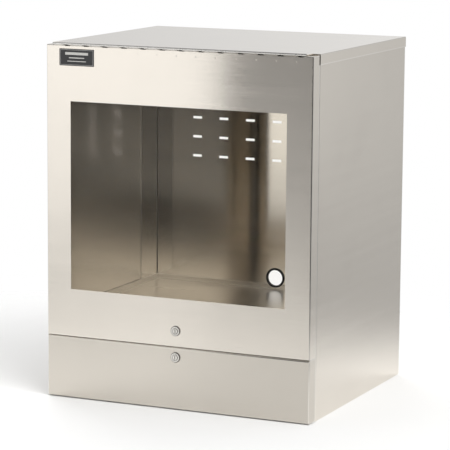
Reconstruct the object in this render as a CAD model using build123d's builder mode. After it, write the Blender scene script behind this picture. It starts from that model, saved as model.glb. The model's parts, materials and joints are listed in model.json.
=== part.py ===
"""Ultraviolet sterilizer cabinet in stainless sheet: flip-up glazed door, chamber and locking drawer.

Millimetres. +Z is up, +X is to the right of someone facing the door and +Y runs from the door to
the back. The origin is the centre of the base, on the surface that the cabinet stands on.
"""

import os

from build123d import *

# ---------------------------------------------------------------- driving dimensions
WIDTH = 698.5  # over the side panels
DEPTH = 609.6  # from the door's face to the back panel
TOP = 874.2  # top face of the top cover
SHEET = 1.5  # outer sheet
LINER = 1.2  # lighter sheet of the inner pieces

HALF = WIDTH / 2
INNER = HALF - SHEET  # inner face of a side wall
FRONT = -DEPTH / 2  # face of the door and of the drawer front
BACK = DEPTH / 2  # outer face of the back panel
BACK_INSIDE = BACK - SHEET
UNDER_TOP = TOP - SHEET

RETURN_DEPTH = 38.1  # folded edge of the door and of the drawer front
FRAME = FRONT + RETURN_DEPTH + 1.4  # front face of the body's frame
FRAME_BACK = FRAME + SHEET
FRAME_FLANGE = 22.0
RAIL_HALF = HALF - FRAME_FLANGE - 0.25  # rails fit between the side panels' folded edges
BEND = 3.0  # outer bend radius of the folded corners

DOOR_BOTTOM = 155.5
DRAWER_TOP = 154.8
DRAWER_BOTTOM = 2.0
WINDOW_HALF = 284.0
WINDOW_LOW = 273.5
WINDOW_HIGH = 735.4

COVER_FLANGE = 25.9
TUCK = 15.0  # flanges folded in under the cover
BACK_FLANGE = 98.5  # side flanges of the back panel, lapped inside the side walls
BASE_FLANGE = 25.0

FLOOR = 195.0  # top face of the chamber floor
FLOOR_RIM = 208.7  # top edge of its upturned rim
RAIL_LOW = 156.0  # lower edge of the rail between the door and the drawer
HEADER_LOW = 742.0

KNUCKLE = 25.4
KNUCKLES = 26
HINGE_HALF = KNUCKLE * KNUCKLES / 2
LEAF = 1.2
LEAF_WIDTH = 28.0
PIN_RADIUS = 1.6
BARREL_BORE = 1.65
BARREL = BARREL_BORE + LEAF
KNUCKLE_GAP = 0.4
NOTCH = BARREL + 3.0  # how far one leaf is cut away around the other one's knuckles
SHEET_NOTCH = (14.0, 2.6)  # width and depth of the notches in the sheets beside the knuckles
HINGE_Y = FRONT - 0.15
HINGE_Z = TOP + 0.15
DOOR_TOP = HINGE_Z - BARREL - 0.5
TONGUE_HALF = HINGE_HALF + 0.6  # front tongue of the cover, between the door's corners

SLOT_SIZE = (25.4, 6.4)
SLOT_PITCH = (76.2, 50.8)
SLOT_COUNT = (7, 3)
SLOTS_Z = 586.2
GROMMET_Z = 224.3
GROMMET_HOLE = 23.4
GROMMET_BORE = 20.5
GROMMET_LIP = 26.2
LIP_THICKNESS = 2.5

DOOR_LOCK_Z = 195.0
DRAWER_LOCK_Z = 130.0
LOCK_HEAD = 12.5
LOCK_BARREL = 9.4
LOCK_HOLE = 9.6
LOCK_BORE = 6.35
PLUG_RADIUS = 6.3
CAM = 2.5  # thickness of a lock's cam
CAM_WIDTH = 16.0
DOOR_CAM_Y = FRONT + 21.5
DRAWER_CAM_Y = FRAME_BACK + 0.5

GASKET = 1.6
PANE = 5.0
PANE_LAP = 16.0  # the pane passes the cut-out by this much
LIP = 5.0  # the retainer's edge stands back from the cut-out
RETAINER_FLANGE = 20.0

SLIDE_Z = 75.0
SLIDE_FRONT = -260.0
SLIDE_LENGTH = 450.0
BRACKET_FACE = 326.0  # face of the slide bracket that carries the outer member
SLIDE_THICKNESS = 13.5
BOX_HALF = BRACKET_FACE - SLIDE_THICKNESS
BOX_LENGTH = 500.0
BOX_LOW = 8.0
BOX_HIGH = 148.0
OUTER_SCREWS_Y = (-200, -30, 150)  # screws along each slide's members

LAMP_Y = (35.0, 105.0)
LAMP_Z = 800.0
LAMP_RADIUS = 13.0
GLASS_HALF = 210.0
CAP_LENGTH = 8.5
CHANNEL_HALF = 240.0
CHANNEL_Y = (5.0, 135.0)
CHANNEL_LOW = 832.7

AXIS_TURN = {"x": (0, 90, 0), "y": (90, 0, 0), "z": (0, 0, 0)}


# ---------------------------------------------------------------- helpers
def slab(x_span, y_span, z_span, mode=Mode.ADD):
    """Add or cut a block given by its limits along x, y and z."""
    spans = (x_span, y_span, z_span)
    centre = [(max(span) + min(span)) / 2 for span in spans]
    size = [max(span) - min(span) for span in spans]
    with Locations(Location(Vector(*centre))):
        return Box(*size, mode=mode)


def rod(axis, centre, radius, span, mode=Mode.ADD):
    """Add or cut a round bar along an axis; centre holds its other two coordinates in x, y, z order."""
    low, high = span
    middle = (low + high) / 2
    places = {
        "x": (middle, centre[0], centre[1]),
        "y": (centre[0], middle, centre[1]),
        "z": (centre[0], centre[1], middle),
    }
    with Locations(Location(places[axis], AXIS_TURN[axis])):
        return Cylinder(radius, high - low, mode=mode)


def front_plane(y):
    """A sketch plane facing the front at depth y, with x to the right and z up."""
    return Plane.XZ.offset(-y)


def folded_block(x_span, y_span, z_span, radius):
    """A block whose four edges around its front face have the bend's radius."""
    with BuildPart() as block:
        slab(x_span, y_span, z_span)
        fillet(block.faces().sort_by(Axis.Y)[0].edges(), radius)
    return block.part


def front_pan(z_low, z_high, radius):
    """A full-width front sheet with returns folded back on all four sides."""
    rear = FRONT + RETURN_DEPTH
    outer = folded_block((-HALF, HALF), (FRONT, rear), (z_low, z_high), radius)
    inner = folded_block(
        (-INNER, INNER), (FRONT + SHEET, rear + 1), (z_low + SHEET, z_high - SHEET), radius - SHEET
    )
    with BuildPart() as pan:
        add(outer)
        add(inner, mode=Mode.SUBTRACT)
    return pan.part


def frame_ring(outer_margin, inner_margin, y_low, y_high):
    """A flat ring around the window cut-out, between two margins measured outwards from it."""
    middle = (WINDOW_LOW + WINDOW_HIGH) / 2
    height = WINDOW_HIGH - WINDOW_LOW
    with BuildPart() as ring:
        with BuildSketch(front_plane(y_low)):
            with Locations((0, middle)):
                Rectangle(2 * (WINDOW_HALF + outer_margin), height + 2 * outer_margin)
                Rectangle(
                    2 * (WINDOW_HALF + inner_margin), height + 2 * inner_margin, mode=Mode.SUBTRACT
                )
        extrude(amount=-(y_high - y_low))
    return ring.part


def hex_nuts(places, y_low, thickness, across_flats, bore):
    """Hexagon nuts on studs that stand along y, at (x, z) places."""
    with BuildPart() as nuts:
        with BuildSketch(front_plane(y_low)):
            with Locations(*places):
                RegularPolygon(across_flats / 2, 6, major_radius=False)
                Circle(bore, mode=Mode.SUBTRACT)
        extrude(amount=-thickness)
    return nuts.part


def studs(places, radius, y_low, y_high):
    """Plain studs along y at (x, z) places."""
    with BuildPart() as group:
        with BuildSketch(front_plane(y_low)):
            with Locations(*places):
                Circle(radius)
        extrude(amount=-(y_high - y_low))
    return group.part


def save(part, name):
    """Label a finished piece and write its STEP file."""
    part.label = name
    export_step(part, f"parts/{name}.step")


os.makedirs("parts", exist_ok=True)


def knuckle_centres(first_knuckle):
    """Places along x of every second knuckle, from the given one on."""
    return [
        -HINGE_HALF + (index + 0.5) * KNUCKLE for index in range(first_knuckle, KNUCKLES, 2)
    ]


# ---------------------------------------------------------------- body: outer sheet
def side_panel(side):
    """A side wall with its front edge folded in as the frame and its top edge folded under the cover."""
    flange_edge = side * (HALF - FRAME_FLANGE)
    with BuildPart() as outer:
        slab((flange_edge, side * HALF), (FRAME, BACK_INSIDE), (0, UNDER_TOP))
        upright = outer.edges().filter_by(Axis.Z).group_by(Axis.Y)[0].sort_by(Axis.X)
        fillet(upright[-1] if side > 0 else upright[0], BEND)
    with BuildPart() as inner:
        slab((flange_edge - side, side * INNER), (FRAME_BACK, BACK), (-1, UNDER_TOP + 1))
        upright = inner.edges().filter_by(Axis.Z).group_by(Axis.Y)[0].sort_by(Axis.X)
        fillet(upright[-1] if side > 0 else upright[0], BEND - SHEET)
    with BuildPart() as panel:
        add(outer.part)
        add(inner.part, mode=Mode.SUBTRACT)
        slab(
            (side * (INNER - TUCK), side * INNER),
            (FRAME_BACK, BACK_INSIDE),
            (UNDER_TOP - SHEET, UNDER_TOP),
        )
    return panel.part


save(side_panel(-1), "left_side_panel")
save(side_panel(1), "right_side_panel")

with BuildPart() as back_panel:
    slab((-HALF, HALF), (BACK_INSIDE, BACK), (0, UNDER_TOP))
    for side in (-1, 1):
        slab(
            (side * (INNER - SHEET), side * INNER),
            (BACK_INSIDE - BACK_FLANGE, BACK_INSIDE),
            (BASE_FLANGE + 2, UNDER_TOP - SHEET - 0.2),
        )
    slab((-330, 330), (BACK_INSIDE - TUCK, BACK_INSIDE), (UNDER_TOP - SHEET, UNDER_TOP))
    with BuildSketch(front_plane(BACK)):
        with Locations((0, SLOTS_Z)):
            with GridLocations(*SLOT_PITCH, *SLOT_COUNT):
                Rectangle(*SLOT_SIZE)
        with Locations((0, GROMMET_Z)):
            Circle(GROMMET_HOLE)
    extrude(amount=SHEET, mode=Mode.SUBTRACT)
save(back_panel.part, "back_panel")

COVER_HALF = HALF + SHEET
COVER_FRONT = FRAME - 0.95
TONGUE_FRONT = HINGE_Y + BARREL + 0.5
with BuildPart() as top_cover:
    slab((-COVER_HALF, COVER_HALF), (COVER_FRONT, BACK + SHEET), (TOP - COVER_FLANGE, TOP))
    folds = top_cover.faces().sort_by(Axis.Z)[-1].edges().sort_by(Axis.Y)[1:]
    fillet(folds, 2.0)
    slab((-HALF, HALF), (COVER_FRONT - 1, BACK), (TOP - COVER_FLANGE - 1, UNDER_TOP), Mode.SUBTRACT)
    slab((-TONGUE_HALF, TONGUE_HALF), (TONGUE_FRONT, COVER_FRONT), (UNDER_TOP, TOP))
    for side in (-1, 1):
        slab(
            (side * TONGUE_HALF, side * COVER_HALF),
            (COVER_FRONT, FRAME - 0.05),
            (DOOR_TOP + 0.2, TOP),
        )
    for x in knuckle_centres(0):
        slab(
            (x - SHEET_NOTCH[0] / 2, x + SHEET_NOTCH[0] / 2),
            (TONGUE_FRONT - 1, TONGUE_FRONT + SHEET_NOTCH[1]),
            (UNDER_TOP - 1, TOP + 1),
            Mode.SUBTRACT,
        )
save(top_cover.part, "top_cover")

with BuildPart() as base_pan:
    slab((-INNER, INNER), (FRAME_BACK + SHEET, BACK_INSIDE), (0, SHEET))
    slab((-RAIL_HALF, RAIL_HALF), (FRAME, FRAME_BACK + SHEET), (0, SHEET))
    for side in (-1, 1):
        slab(
            (side * (INNER - SHEET), side * INNER),
            (FRAME_BACK + SHEET, BACK_INSIDE),
            (SHEET, BASE_FLANGE),
        )
    slab(
        (-INNER + SHEET, INNER - SHEET),
        (BACK_INSIDE - SHEET, BACK_INSIDE),
        (SHEET, BASE_FLANGE),
    )
save(base_pan.part, "base_pan")

# ---------------------------------------------------------------- body: inner frame
RIM_HALF = INNER - SHEET - 0.25
with BuildPart() as chamber_floor:
    slab((-RIM_HALF, RIM_HALF), (FRAME_BACK + 0.3, BACK_INSIDE), (FLOOR - SHEET, FLOOR))
    for side in (-1, 1):
        slab(
            (side * (RIM_HALF - LINER), side * RIM_HALF),
            (FRAME_BACK + 2, BACK_INSIDE),
            (FLOOR, FLOOR_RIM),
        )
    slab((-RIM_HALF, RIM_HALF), (BACK_INSIDE - LINER, BACK_INSIDE), (FLOOR, FLOOR_RIM))
    rod(
        "y",
        (0, GROMMET_Z),
        GROMMET_LIP + 1.3,
        (BACK_INSIDE - LIP_THICKNESS - 2, BACK_INSIDE + 1),
        Mode.SUBTRACT,
    )
save(chamber_floor.part, "chamber_floor")

RAIL_TOP = FLOOR - SHEET
with BuildPart() as cross_rail:
    slab((-RAIL_HALF, RAIL_HALF), (FRAME, FRAME_BACK), (RAIL_LOW, RAIL_TOP))
    slab((-RIM_HALF, RIM_HALF), (FRAME_BACK, FRAME_BACK + 25), (RAIL_TOP - SHEET, RAIL_TOP))
    for side in (-1, 1):
        slab(
            (side * (RAIL_HALF - 30), side * RIM_HALF),
            (FRAME_BACK, FRAME_BACK + SHEET),
            (RAIL_LOW + 3, RAIL_TOP - SHEET),
        )
save(cross_rail.part, "cross_rail")

HEADER_TOP = HINGE_Z - BARREL
with BuildPart() as header_rail:
    slab((-INNER + 2, INNER - 2), (FRAME_BACK, FRAME_BACK + SHEET), (HEADER_LOW, UNDER_TOP - SHEET - 0.3))
    slab((-RAIL_HALF, RAIL_HALF), (HINGE_Y + 9, FRAME_BACK), (HEADER_TOP - SHEET, HEADER_TOP))
    slab((-INNER + 2, INNER - 2), (FRAME_BACK, FRAME_BACK + 16), (HEADER_LOW, HEADER_LOW + SHEET))
save(header_rail.part, "header_rail")

SEAL_OUTER = HALF - 0.8
SEAL_WIDTH = 10.0
SEAL_FRONT = FRONT + RETURN_DEPTH + 0.3
SEAL_SILL = RAIL_LOW + 4.4
with BuildPart() as door_seal:
    for side in (-1, 1):
        slab(
            (side * (SEAL_OUTER - SEAL_WIDTH), side * (SEAL_OUTER - BEND)),
            (SEAL_FRONT, FRAME),
            (SEAL_SILL, DOOR_TOP - 5),
        )
    slab((-RAIL_HALF, RAIL_HALF), (SEAL_FRONT, FRAME), (RAIL_LOW + 0.2, SEAL_SILL))
save(door_seal.part, "door_seal")

STRIKE_HALF = 20.0
STRIKE_LOW = 161.0
STRIKE_LIP_TOP = 182.0
with BuildPart() as door_strike:
    slab((-STRIKE_HALF, STRIKE_HALF), (FRAME - 1.5, FRAME), (STRIKE_LOW, 185))
    slab((-STRIKE_HALF, STRIKE_HALF), (DOOR_CAM_Y - 2.5, FRAME), (STRIKE_LOW, STRIKE_LOW + 2))
    slab((-STRIKE_HALF, STRIKE_HALF), (DOOR_CAM_Y - 2.5, DOOR_CAM_Y - 0.5), (STRIKE_LOW, STRIKE_LIP_TOP))
    for x in (-13, 13):
        rod("y", (x, 173), 2.1, (FRAME - 3, FRAME + 1), Mode.SUBTRACT)
    for x in (-13, 13):
        rod("y", (x, 173), 4.5, (DOOR_CAM_Y - 4, DOOR_CAM_Y), Mode.SUBTRACT)
save(door_strike.part, "door_strike")

with BuildPart() as strike_screws:
    for x in (-13, 13):
        rod("y", (x, 173), 3.8, (FRAME - 3.7, FRAME - 1.5))
        rod("y", (x, 173), 2.0, (FRAME - 2.5, FRAME))
        slab((x - 2.4, x + 2.4), (FRAME - 3.7, FRAME - 2.7), (172.5, 173.5), Mode.SUBTRACT)
save(strike_screws.part, "strike_screws")

with BuildPart() as cable_grommet:
    for low, high, radius in (
        (BACK_INSIDE - LIP_THICKNESS, BACK_INSIDE, GROMMET_LIP),
        (BACK_INSIDE, BACK, GROMMET_HOLE),
        (BACK, BACK + LIP_THICKNESS, GROMMET_LIP),
    ):
        rod("y", (0, GROMMET_Z), radius, (low, high))
    rims = cable_grommet.edges().filter_by(GeomType.CIRCLE).group_by(Axis.Y)
    fillet([rims[0], rims[-1]], 1.1)
    rod(
        "y",
        (0, GROMMET_Z),
        GROMMET_BORE,
        (BACK_INSIDE - LIP_THICKNESS - 1, BACK + LIP_THICKNESS + 1),
        Mode.SUBTRACT,
    )
save(cable_grommet.part, "cable_grommet")


# ---------------------------------------------------------------- hinge
def hinge_leaf(first_knuckle, hanging):
    """One leaf of the continuous hinge, with every second knuckle and notches for the others."""
    with BuildPart() as leaf:
        if hanging:
            plate = (HINGE_Y + BARREL - LEAF, HINGE_Y + BARREL)
            slab((-HINGE_HALF, HINGE_HALF), plate, (HINGE_Z - LEAF_WIDTH, HINGE_Z - NOTCH))
        else:
            plate = (HINGE_Z - BARREL, HINGE_Z - BARREL + LEAF)
            slab((-HINGE_HALF, HINGE_HALF), (HINGE_Y + NOTCH, HINGE_Y + LEAF_WIDTH), plate)
        for index in range(first_knuckle, KNUCKLES, 2):
            low = -HINGE_HALF + index * KNUCKLE + KNUCKLE_GAP / 2
            high = low + KNUCKLE - KNUCKLE_GAP
            rod("x", (HINGE_Y, HINGE_Z), BARREL, (low, high))
            if hanging:
                slab((low, high), plate, (HINGE_Z - NOTCH, HINGE_Z))
            else:
                slab((low, high), (HINGE_Y, HINGE_Y + NOTCH), plate)
        rod(
            "x",
            (HINGE_Y, HINGE_Z),
            BARREL_BORE,
            (-HINGE_HALF - 1, HINGE_HALF + 1),
            Mode.SUBTRACT,
        )
    return leaf.part


save(hinge_leaf(1, hanging=False), "hinge_body_leaf")
save(hinge_leaf(0, hanging=True), "hinge_door_leaf")

with BuildPart() as hinge_pin:
    rod("x", (HINGE_Y, HINGE_Z), PIN_RADIUS, (-HINGE_HALF - 0.6, HINGE_HALF + 0.6))
    for side in (-1, 1):
        rod(
            "x",
            (HINGE_Y, HINGE_Z),
            2.5,
            sorted((side * (HINGE_HALF + 0.3), side * (HINGE_HALF + 1.2))),
        )
save(hinge_pin.part, "hinge_pin")

# ---------------------------------------------------------------- door
with BuildPart() as door_panel:
    add(front_pan(DOOR_BOTTOM, DOOR_TOP, BEND))
    slab(
        (-HINGE_HALF - 2, HINGE_HALF + 2),
        (FRONT + SHEET, FRONT + RETURN_DEPTH + 1),
        (DOOR_TOP - BEND - 1, DOOR_TOP + 1),
        Mode.SUBTRACT,
    )
    slab(
        (-WINDOW_HALF, WINDOW_HALF),
        (FRONT - 1, FRONT + SHEET + 1),
        (WINDOW_LOW, WINDOW_HIGH),
        Mode.SUBTRACT,
    )
    rod("y", (0, DOOR_LOCK_Z), LOCK_HOLE, (FRONT - 1, FRONT + SHEET + 1), Mode.SUBTRACT)
    for x in knuckle_centres(1):
        slab(
            (x - SHEET_NOTCH[0] / 2, x + SHEET_NOTCH[0] / 2),
            (FRONT - 1, FRONT + SHEET + 1),
            (DOOR_TOP - SHEET_NOTCH[1], DOOR_TOP + 1),
            Mode.SUBTRACT,
        )
save(door_panel.part, "door_panel")

PANE_FRONT = FRONT + SHEET + GASKET
PANE_BACK = PANE_FRONT + PANE
save(frame_ring(PANE_LAP, 3.0, FRONT + SHEET, PANE_FRONT), "window_gasket")

with BuildPart() as window_pane:
    slab(
        (-WINDOW_HALF - PANE_LAP, WINDOW_HALF + PANE_LAP),
        (PANE_FRONT, PANE_BACK),
        (WINDOW_LOW - PANE_LAP, WINDOW_HIGH + PANE_LAP),
    )
    chamfer(window_pane.edges().filter_by(Axis.Y, reverse=True), 0.4)
save(window_pane.part, "window_pane")

RISER = PANE_LAP + 2.0  # inner face of the retainer's upright wall
RETAINER_EDGE = RISER + LINER + RETAINER_FLANGE
with BuildPart() as window_retainer:
    add(frame_ring(RETAINER_EDGE, RISER, FRONT + SHEET, FRONT + SHEET + LINER))
    add(frame_ring(RISER + LINER, RISER, FRONT + SHEET, PANE_BACK + LINER))
    add(frame_ring(RISER + LINER, LIP, PANE_BACK, PANE_BACK + LINER))
STUD_LINE = RISER + LINER + RETAINER_FLANGE / 2
STUD_X = [-WINDOW_HALF - STUD_LINE, -200, -67, 67, 200, WINDOW_HALF + STUD_LINE]
STUD_Z = [WINDOW_LOW - STUD_LINE, 350, 504, 658, WINDOW_HIGH + STUD_LINE]
RETAINER_STUDS = [(x, z) for x in STUD_X for z in (STUD_Z[0], STUD_Z[-1])]
RETAINER_STUDS += [(x, z) for x in (STUD_X[0], STUD_X[-1]) for z in STUD_Z[1:-1]]
with BuildPart() as drilled_retainer:
    add(window_retainer.part)
    add(studs(RETAINER_STUDS, 2.2, FRONT, FRONT + 10), mode=Mode.SUBTRACT)
save(drilled_retainer.part, "window_retainer")
save(studs(RETAINER_STUDS, 2.0, FRONT + SHEET, FRONT + 9), "retainer_studs")
save(hex_nuts(RETAINER_STUDS, FRONT + SHEET + LINER, 3.2, 7.0, 2.1), "retainer_nuts")

PLATE_X = (-313.8, -220.2)
PLATE_Z = (821.3, 862.4)
PLATE_THICKNESS = 0.6
with BuildPart() as nameplate:
    slab(PLATE_X, (FRONT - PLATE_THICKNESS, FRONT), PLATE_Z)
    fillet(nameplate.edges().filter_by(Axis.Y), 1.5)
save(nameplate.part, "nameplate")


# ---------------------------------------------------------------- cam locks
def lock_barrel(z, rear):
    """The fixed body of a cam lock: a bevelled round head and a barrel with flats for its nut."""
    with BuildPart() as barrel:
        rod("y", (0, z), LOCK_HEAD, (FRONT - 3, FRONT))
        chamfer(barrel.edges().filter_by(GeomType.CIRCLE).sort_by(Axis.Y)[0], 1.0)
        rod("y", (0, z), LOCK_BARREL, (FRONT, rear))
        rod("y", (0, z), LOCK_BORE, (FRONT - 4, rear + 1), Mode.SUBTRACT)
    return barrel.part


def lock_plug(z, cam_front):
    """The turning plug of a cam lock, with an upright keyway and a square tang for the cam."""
    with BuildPart() as plug:
        rod("y", (0, z), PLUG_RADIUS, (FRONT - 3.4, cam_front - 0.1))
        slab((-1.1, 1.1), (FRONT - 4, FRONT + 5), (z - 4.5, z + 4.5), Mode.SUBTRACT)
        slab((-3.6, 3.6), (cam_front - 1, cam_front + CAM), (z - 3.6, z + 3.6))
        rod("y", (0, z), 2.1, (cam_front - 6, cam_front + CAM + 1), Mode.SUBTRACT)
    return plug.part


def lock_cam(z, cam_front, reach):
    """A flat cam that points along +x from the plug, with a round heel and a rounded tip."""
    with BuildPart() as cam:
        with BuildSketch(front_plane(cam_front)):
            with Locations((0, z)):
                Circle(CAM_WIDTH / 2 + 1)
            with Locations((reach / 2, z)):
                Rectangle(reach, CAM_WIDTH)
            with Locations((0, z)):
                Rectangle(7.3, 7.3, mode=Mode.SUBTRACT)
        extrude(amount=-CAM)
        tip = cam.edges().filter_by(Axis.Y).sort_by(Axis.X)[-2:]
        fillet(tip, 4.0)
    return cam.part


def cam_screw(z, cam_front):
    """The screw that holds a cam on its plug."""
    with BuildPart() as screw:
        rod("y", (0, z), 2.0, (cam_front - 5, cam_front + CAM))
        rod("y", (0, z), 5.2, (cam_front + CAM, cam_front + CAM + 2.4))
        slab(
            (-4, 4), (cam_front + CAM + 1.4, cam_front + CAM + 3), (z - 0.6, z + 0.6), Mode.SUBTRACT
        )
    return screw.part


LOCKS = {
    "door_lock": (DOOR_LOCK_Z, FRONT + 20, DOOR_CAM_Y, 25.0, FRONT + SHEET),
    "drawer_lock": (DRAWER_LOCK_Z, FRAME - 3.5, DRAWER_CAM_Y, 36.0, FRONT + SHEET + LINER),
}
for lock, (lock_z, barrel_rear, cam_y, cam_reach, nut_face) in LOCKS.items():
    save(lock_barrel(lock_z, barrel_rear), f"{lock}_barrel")
    save(hex_nuts([(0, lock_z)], nut_face, 4.5, 27.0, 9.45), f"{lock}_nut")
    save(lock_plug(lock_z, cam_y), f"{lock}_plug")
    save(lock_cam(lock_z, cam_y, cam_reach), f"{lock}_cam")
    save(cam_screw(lock_z, cam_y), f"{lock}_screw")

# ---------------------------------------------------------------- door switch
SWITCH_X = (288, 304)
SWITCH_Z = (780, 812)
with BuildPart() as door_switch:
    slab(SWITCH_X, (FRAME_BACK - 8.5, FRAME_BACK), SWITCH_Z)
    fillet(door_switch.edges().group_by(Axis.Y)[0], 1.5)
save(door_switch.part, "door_switch")

with BuildPart() as door_magnet:
    slab(SWITCH_X, (FRONT + SHEET, FRONT + SHEET + 12), SWITCH_Z)
    fillet(door_magnet.edges().group_by(Axis.Y)[-1], 1.5)
save(door_magnet.part, "door_magnet")

# ---------------------------------------------------------------- drawer
with BuildPart() as drawer_front:
    add(front_pan(DRAWER_BOTTOM, DRAWER_TOP, BEND + 1))
    rod("y", (0, DRAWER_LOCK_Z), LOCK_HOLE, (FRONT - 1, FRONT + SHEET + 1), Mode.SUBTRACT)
save(drawer_front.part, "drawer_front")

BOX_FRONT = FRONT + SHEET
BOX_BACK = BOX_FRONT + BOX_LENGTH
DRAWER_STUDS = [(x, z) for x in (-290, -110, 110, 290) for z in (40, 118)]
with BuildPart() as drawer_box:
    slab((-BOX_HALF, BOX_HALF), (BOX_FRONT, BOX_BACK), (BOX_LOW, BOX_HIGH))
    slab(
        (-BOX_HALF + LINER, BOX_HALF - LINER),
        (BOX_FRONT + LINER, BOX_BACK - LINER),
        (BOX_LOW + LINER, BOX_HIGH + 1),
        Mode.SUBTRACT,
    )
    rod("y", (0, DRAWER_LOCK_Z), LOCK_HOLE, (BOX_FRONT - 1, BOX_FRONT + 3), Mode.SUBTRACT)
    add(studs(DRAWER_STUDS, 2.6, BOX_FRONT - 1, BOX_FRONT + 3), mode=Mode.SUBTRACT)
    for side in (-1, 1):
        for y in OUTER_SCREWS_Y:
            rod(
                "x",
                (y, SLIDE_Z),
                2.2,
                sorted((side * (BOX_HALF - 3), side * (BOX_HALF + 1))),
                Mode.SUBTRACT,
            )
save(drawer_box.part, "drawer_box")
save(studs(DRAWER_STUDS, 2.4, BOX_FRONT, BOX_FRONT + 8), "drawer_studs")
save(hex_nuts(DRAWER_STUDS, BOX_FRONT + LINER, 4.0, 8.0, 2.5), "drawer_nuts")

# ---------------------------------------------------------------- drawer slides
SLIDE_BACK = SLIDE_FRONT + SLIDE_LENGTH


def slide_member(side, web_offset, flange_reach, half_height, y_span):
    """A channel of a telescopic slide; offsets are measured inwards from the bracket's face."""
    web = sorted(side * (BRACKET_FACE - offset) for offset in (web_offset, web_offset + LINER))
    flange = sorted(side * (BRACKET_FACE - offset) for offset in (web_offset, flange_reach))
    with BuildPart() as member:
        slab(web, y_span, (SLIDE_Z - half_height, SLIDE_Z + half_height))
        for low, high in (
            (-half_height, -half_height + LINER),
            (half_height - LINER, half_height),
        ):
            slab(flange, y_span, (SLIDE_Z + low, SLIDE_Z + high))
    return member.part


def drilled_for_screws(member, side, x_span, radius):
    """A slide member with its three fixing holes."""
    with BuildPart() as drilled:
        add(member)
        for y in OUTER_SCREWS_Y:
            rod("x", (y, SLIDE_Z), radius, sorted(side * x for x in x_span), Mode.SUBTRACT)
    return drilled.part


def slide_bracket(side):
    """A channel that stands off the side wall and carries the slide clear of the frame's flange."""
    face = (side * BRACKET_FACE, side * (BRACKET_FACE + SHEET))
    y_span = (FRAME_BACK + 2, SLIDE_BACK + 6)
    with BuildPart() as bracket:
        slab(face, y_span, (SLIDE_Z - 30, SLIDE_Z + 30))
        for low in (-30, 30 - SHEET):
            slab(
                (side * BRACKET_FACE, side * INNER),
                y_span,
                (SLIDE_Z + low, SLIDE_Z + low + SHEET),
            )
        for y in OUTER_SCREWS_Y:
            rod(
                "x",
                (y, SLIDE_Z),
                2.2,
                sorted((side * (BRACKET_FACE - 1), side * (BRACKET_FACE + 3))),
                Mode.SUBTRACT,
            )
    return bracket.part


def slide_screws(inward_face, shank_end):
    """Pan-head screws on both sides: heads inside the channel, shanks outwards or inwards through it."""
    head = 1.4 if shank_end > inward_face else -1.6
    with BuildPart() as screws:
        for side in (-1, 1):
            for y in OUTER_SCREWS_Y:
                rod("x", (y, SLIDE_Z), 2.0, sorted((side * inward_face, side * shank_end)))
                rod("x", (y, SLIDE_Z), 3.8, sorted((side * inward_face, side * (inward_face - head))))
    return screws.part


INNER_WEB = SLIDE_THICKNESS - LINER
for side, hand in ((-1, "left"), (1, "right")):
    save(slide_bracket(side), f"{hand}_slide_bracket")
    outer_member = slide_member(side, 0.0, 9.5, 22.8, (SLIDE_FRONT, SLIDE_BACK))
    outer_holes = (BRACKET_FACE - LINER - 1, BRACKET_FACE + 1)
    save(drilled_for_screws(outer_member, side, outer_holes, 2.2), f"{hand}_slide_outer")
    middle_member = slide_member(side, 3.8, 11.0, 17.5, (SLIDE_FRONT + 2, SLIDE_BACK - 2))
    save(middle_member, f"{hand}_slide_middle")
    inner_channel = slide_member(side, INNER_WEB, 7.0, 13.0, (SLIDE_FRONT, SLIDE_BACK))
    inner_holes = (BOX_HALF - 1, BOX_HALF + LINER + 1)
    save(drilled_for_screws(inner_channel, side, inner_holes, 2.2), f"{hand}_slide_inner")

save(slide_screws(BRACKET_FACE - LINER, BRACKET_FACE + 6), "bracket_screws")
save(slide_screws(BOX_HALF + LINER, BOX_HALF - 4), "drawer_slide_screws")

# ---------------------------------------------------------------- ultraviolet lamp fixture
CHANNEL_SHEET = 1.0
FIXTURE_STUDS = [(x, y) for x in (-180, 180) for y in (CHANNEL_Y[0] + 8, CHANNEL_Y[1] - 8)]
with BuildPart() as lamp_channel:
    slab((-CHANNEL_HALF, CHANNEL_HALF), CHANNEL_Y, (CHANNEL_LOW, UNDER_TOP))
    slab(
        (-CHANNEL_HALF + CHANNEL_SHEET, CHANNEL_HALF - CHANNEL_SHEET),
        (CHANNEL_Y[0] + CHANNEL_SHEET, CHANNEL_Y[1] - CHANNEL_SHEET),
        (CHANNEL_LOW + CHANNEL_SHEET, UNDER_TOP - CHANNEL_SHEET),
        Mode.SUBTRACT,
    )
    slab(
        (-CHANNEL_HALF + CHANNEL_SHEET, CHANNEL_HALF - CHANNEL_SHEET),
        (CHANNEL_Y[0] + 16, CHANNEL_Y[1] - 16),
        (UNDER_TOP - 2, UNDER_TOP + 1),
        Mode.SUBTRACT,
    )
    for place in FIXTURE_STUDS:
        rod("z", place, 2.6, (UNDER_TOP - 3, UNDER_TOP + 1), Mode.SUBTRACT)
save(lamp_channel.part, "lamp_channel")

with BuildPart() as fixture_studs:
    for place in FIXTURE_STUDS:
        rod("z", place, 2.4, (UNDER_TOP - 9, UNDER_TOP))
save(fixture_studs.part, "fixture_studs")

with BuildPart() as fixture_nuts:
    with BuildSketch(Plane.XY.offset(UNDER_TOP - CHANNEL_SHEET - 4)):
        with Locations(*FIXTURE_STUDS):
            RegularPolygon(4.0, 6, major_radius=False)
            Circle(2.5, mode=Mode.SUBTRACT)
    extrude(amount=4)
save(fixture_nuts.part, "fixture_nuts")

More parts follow.
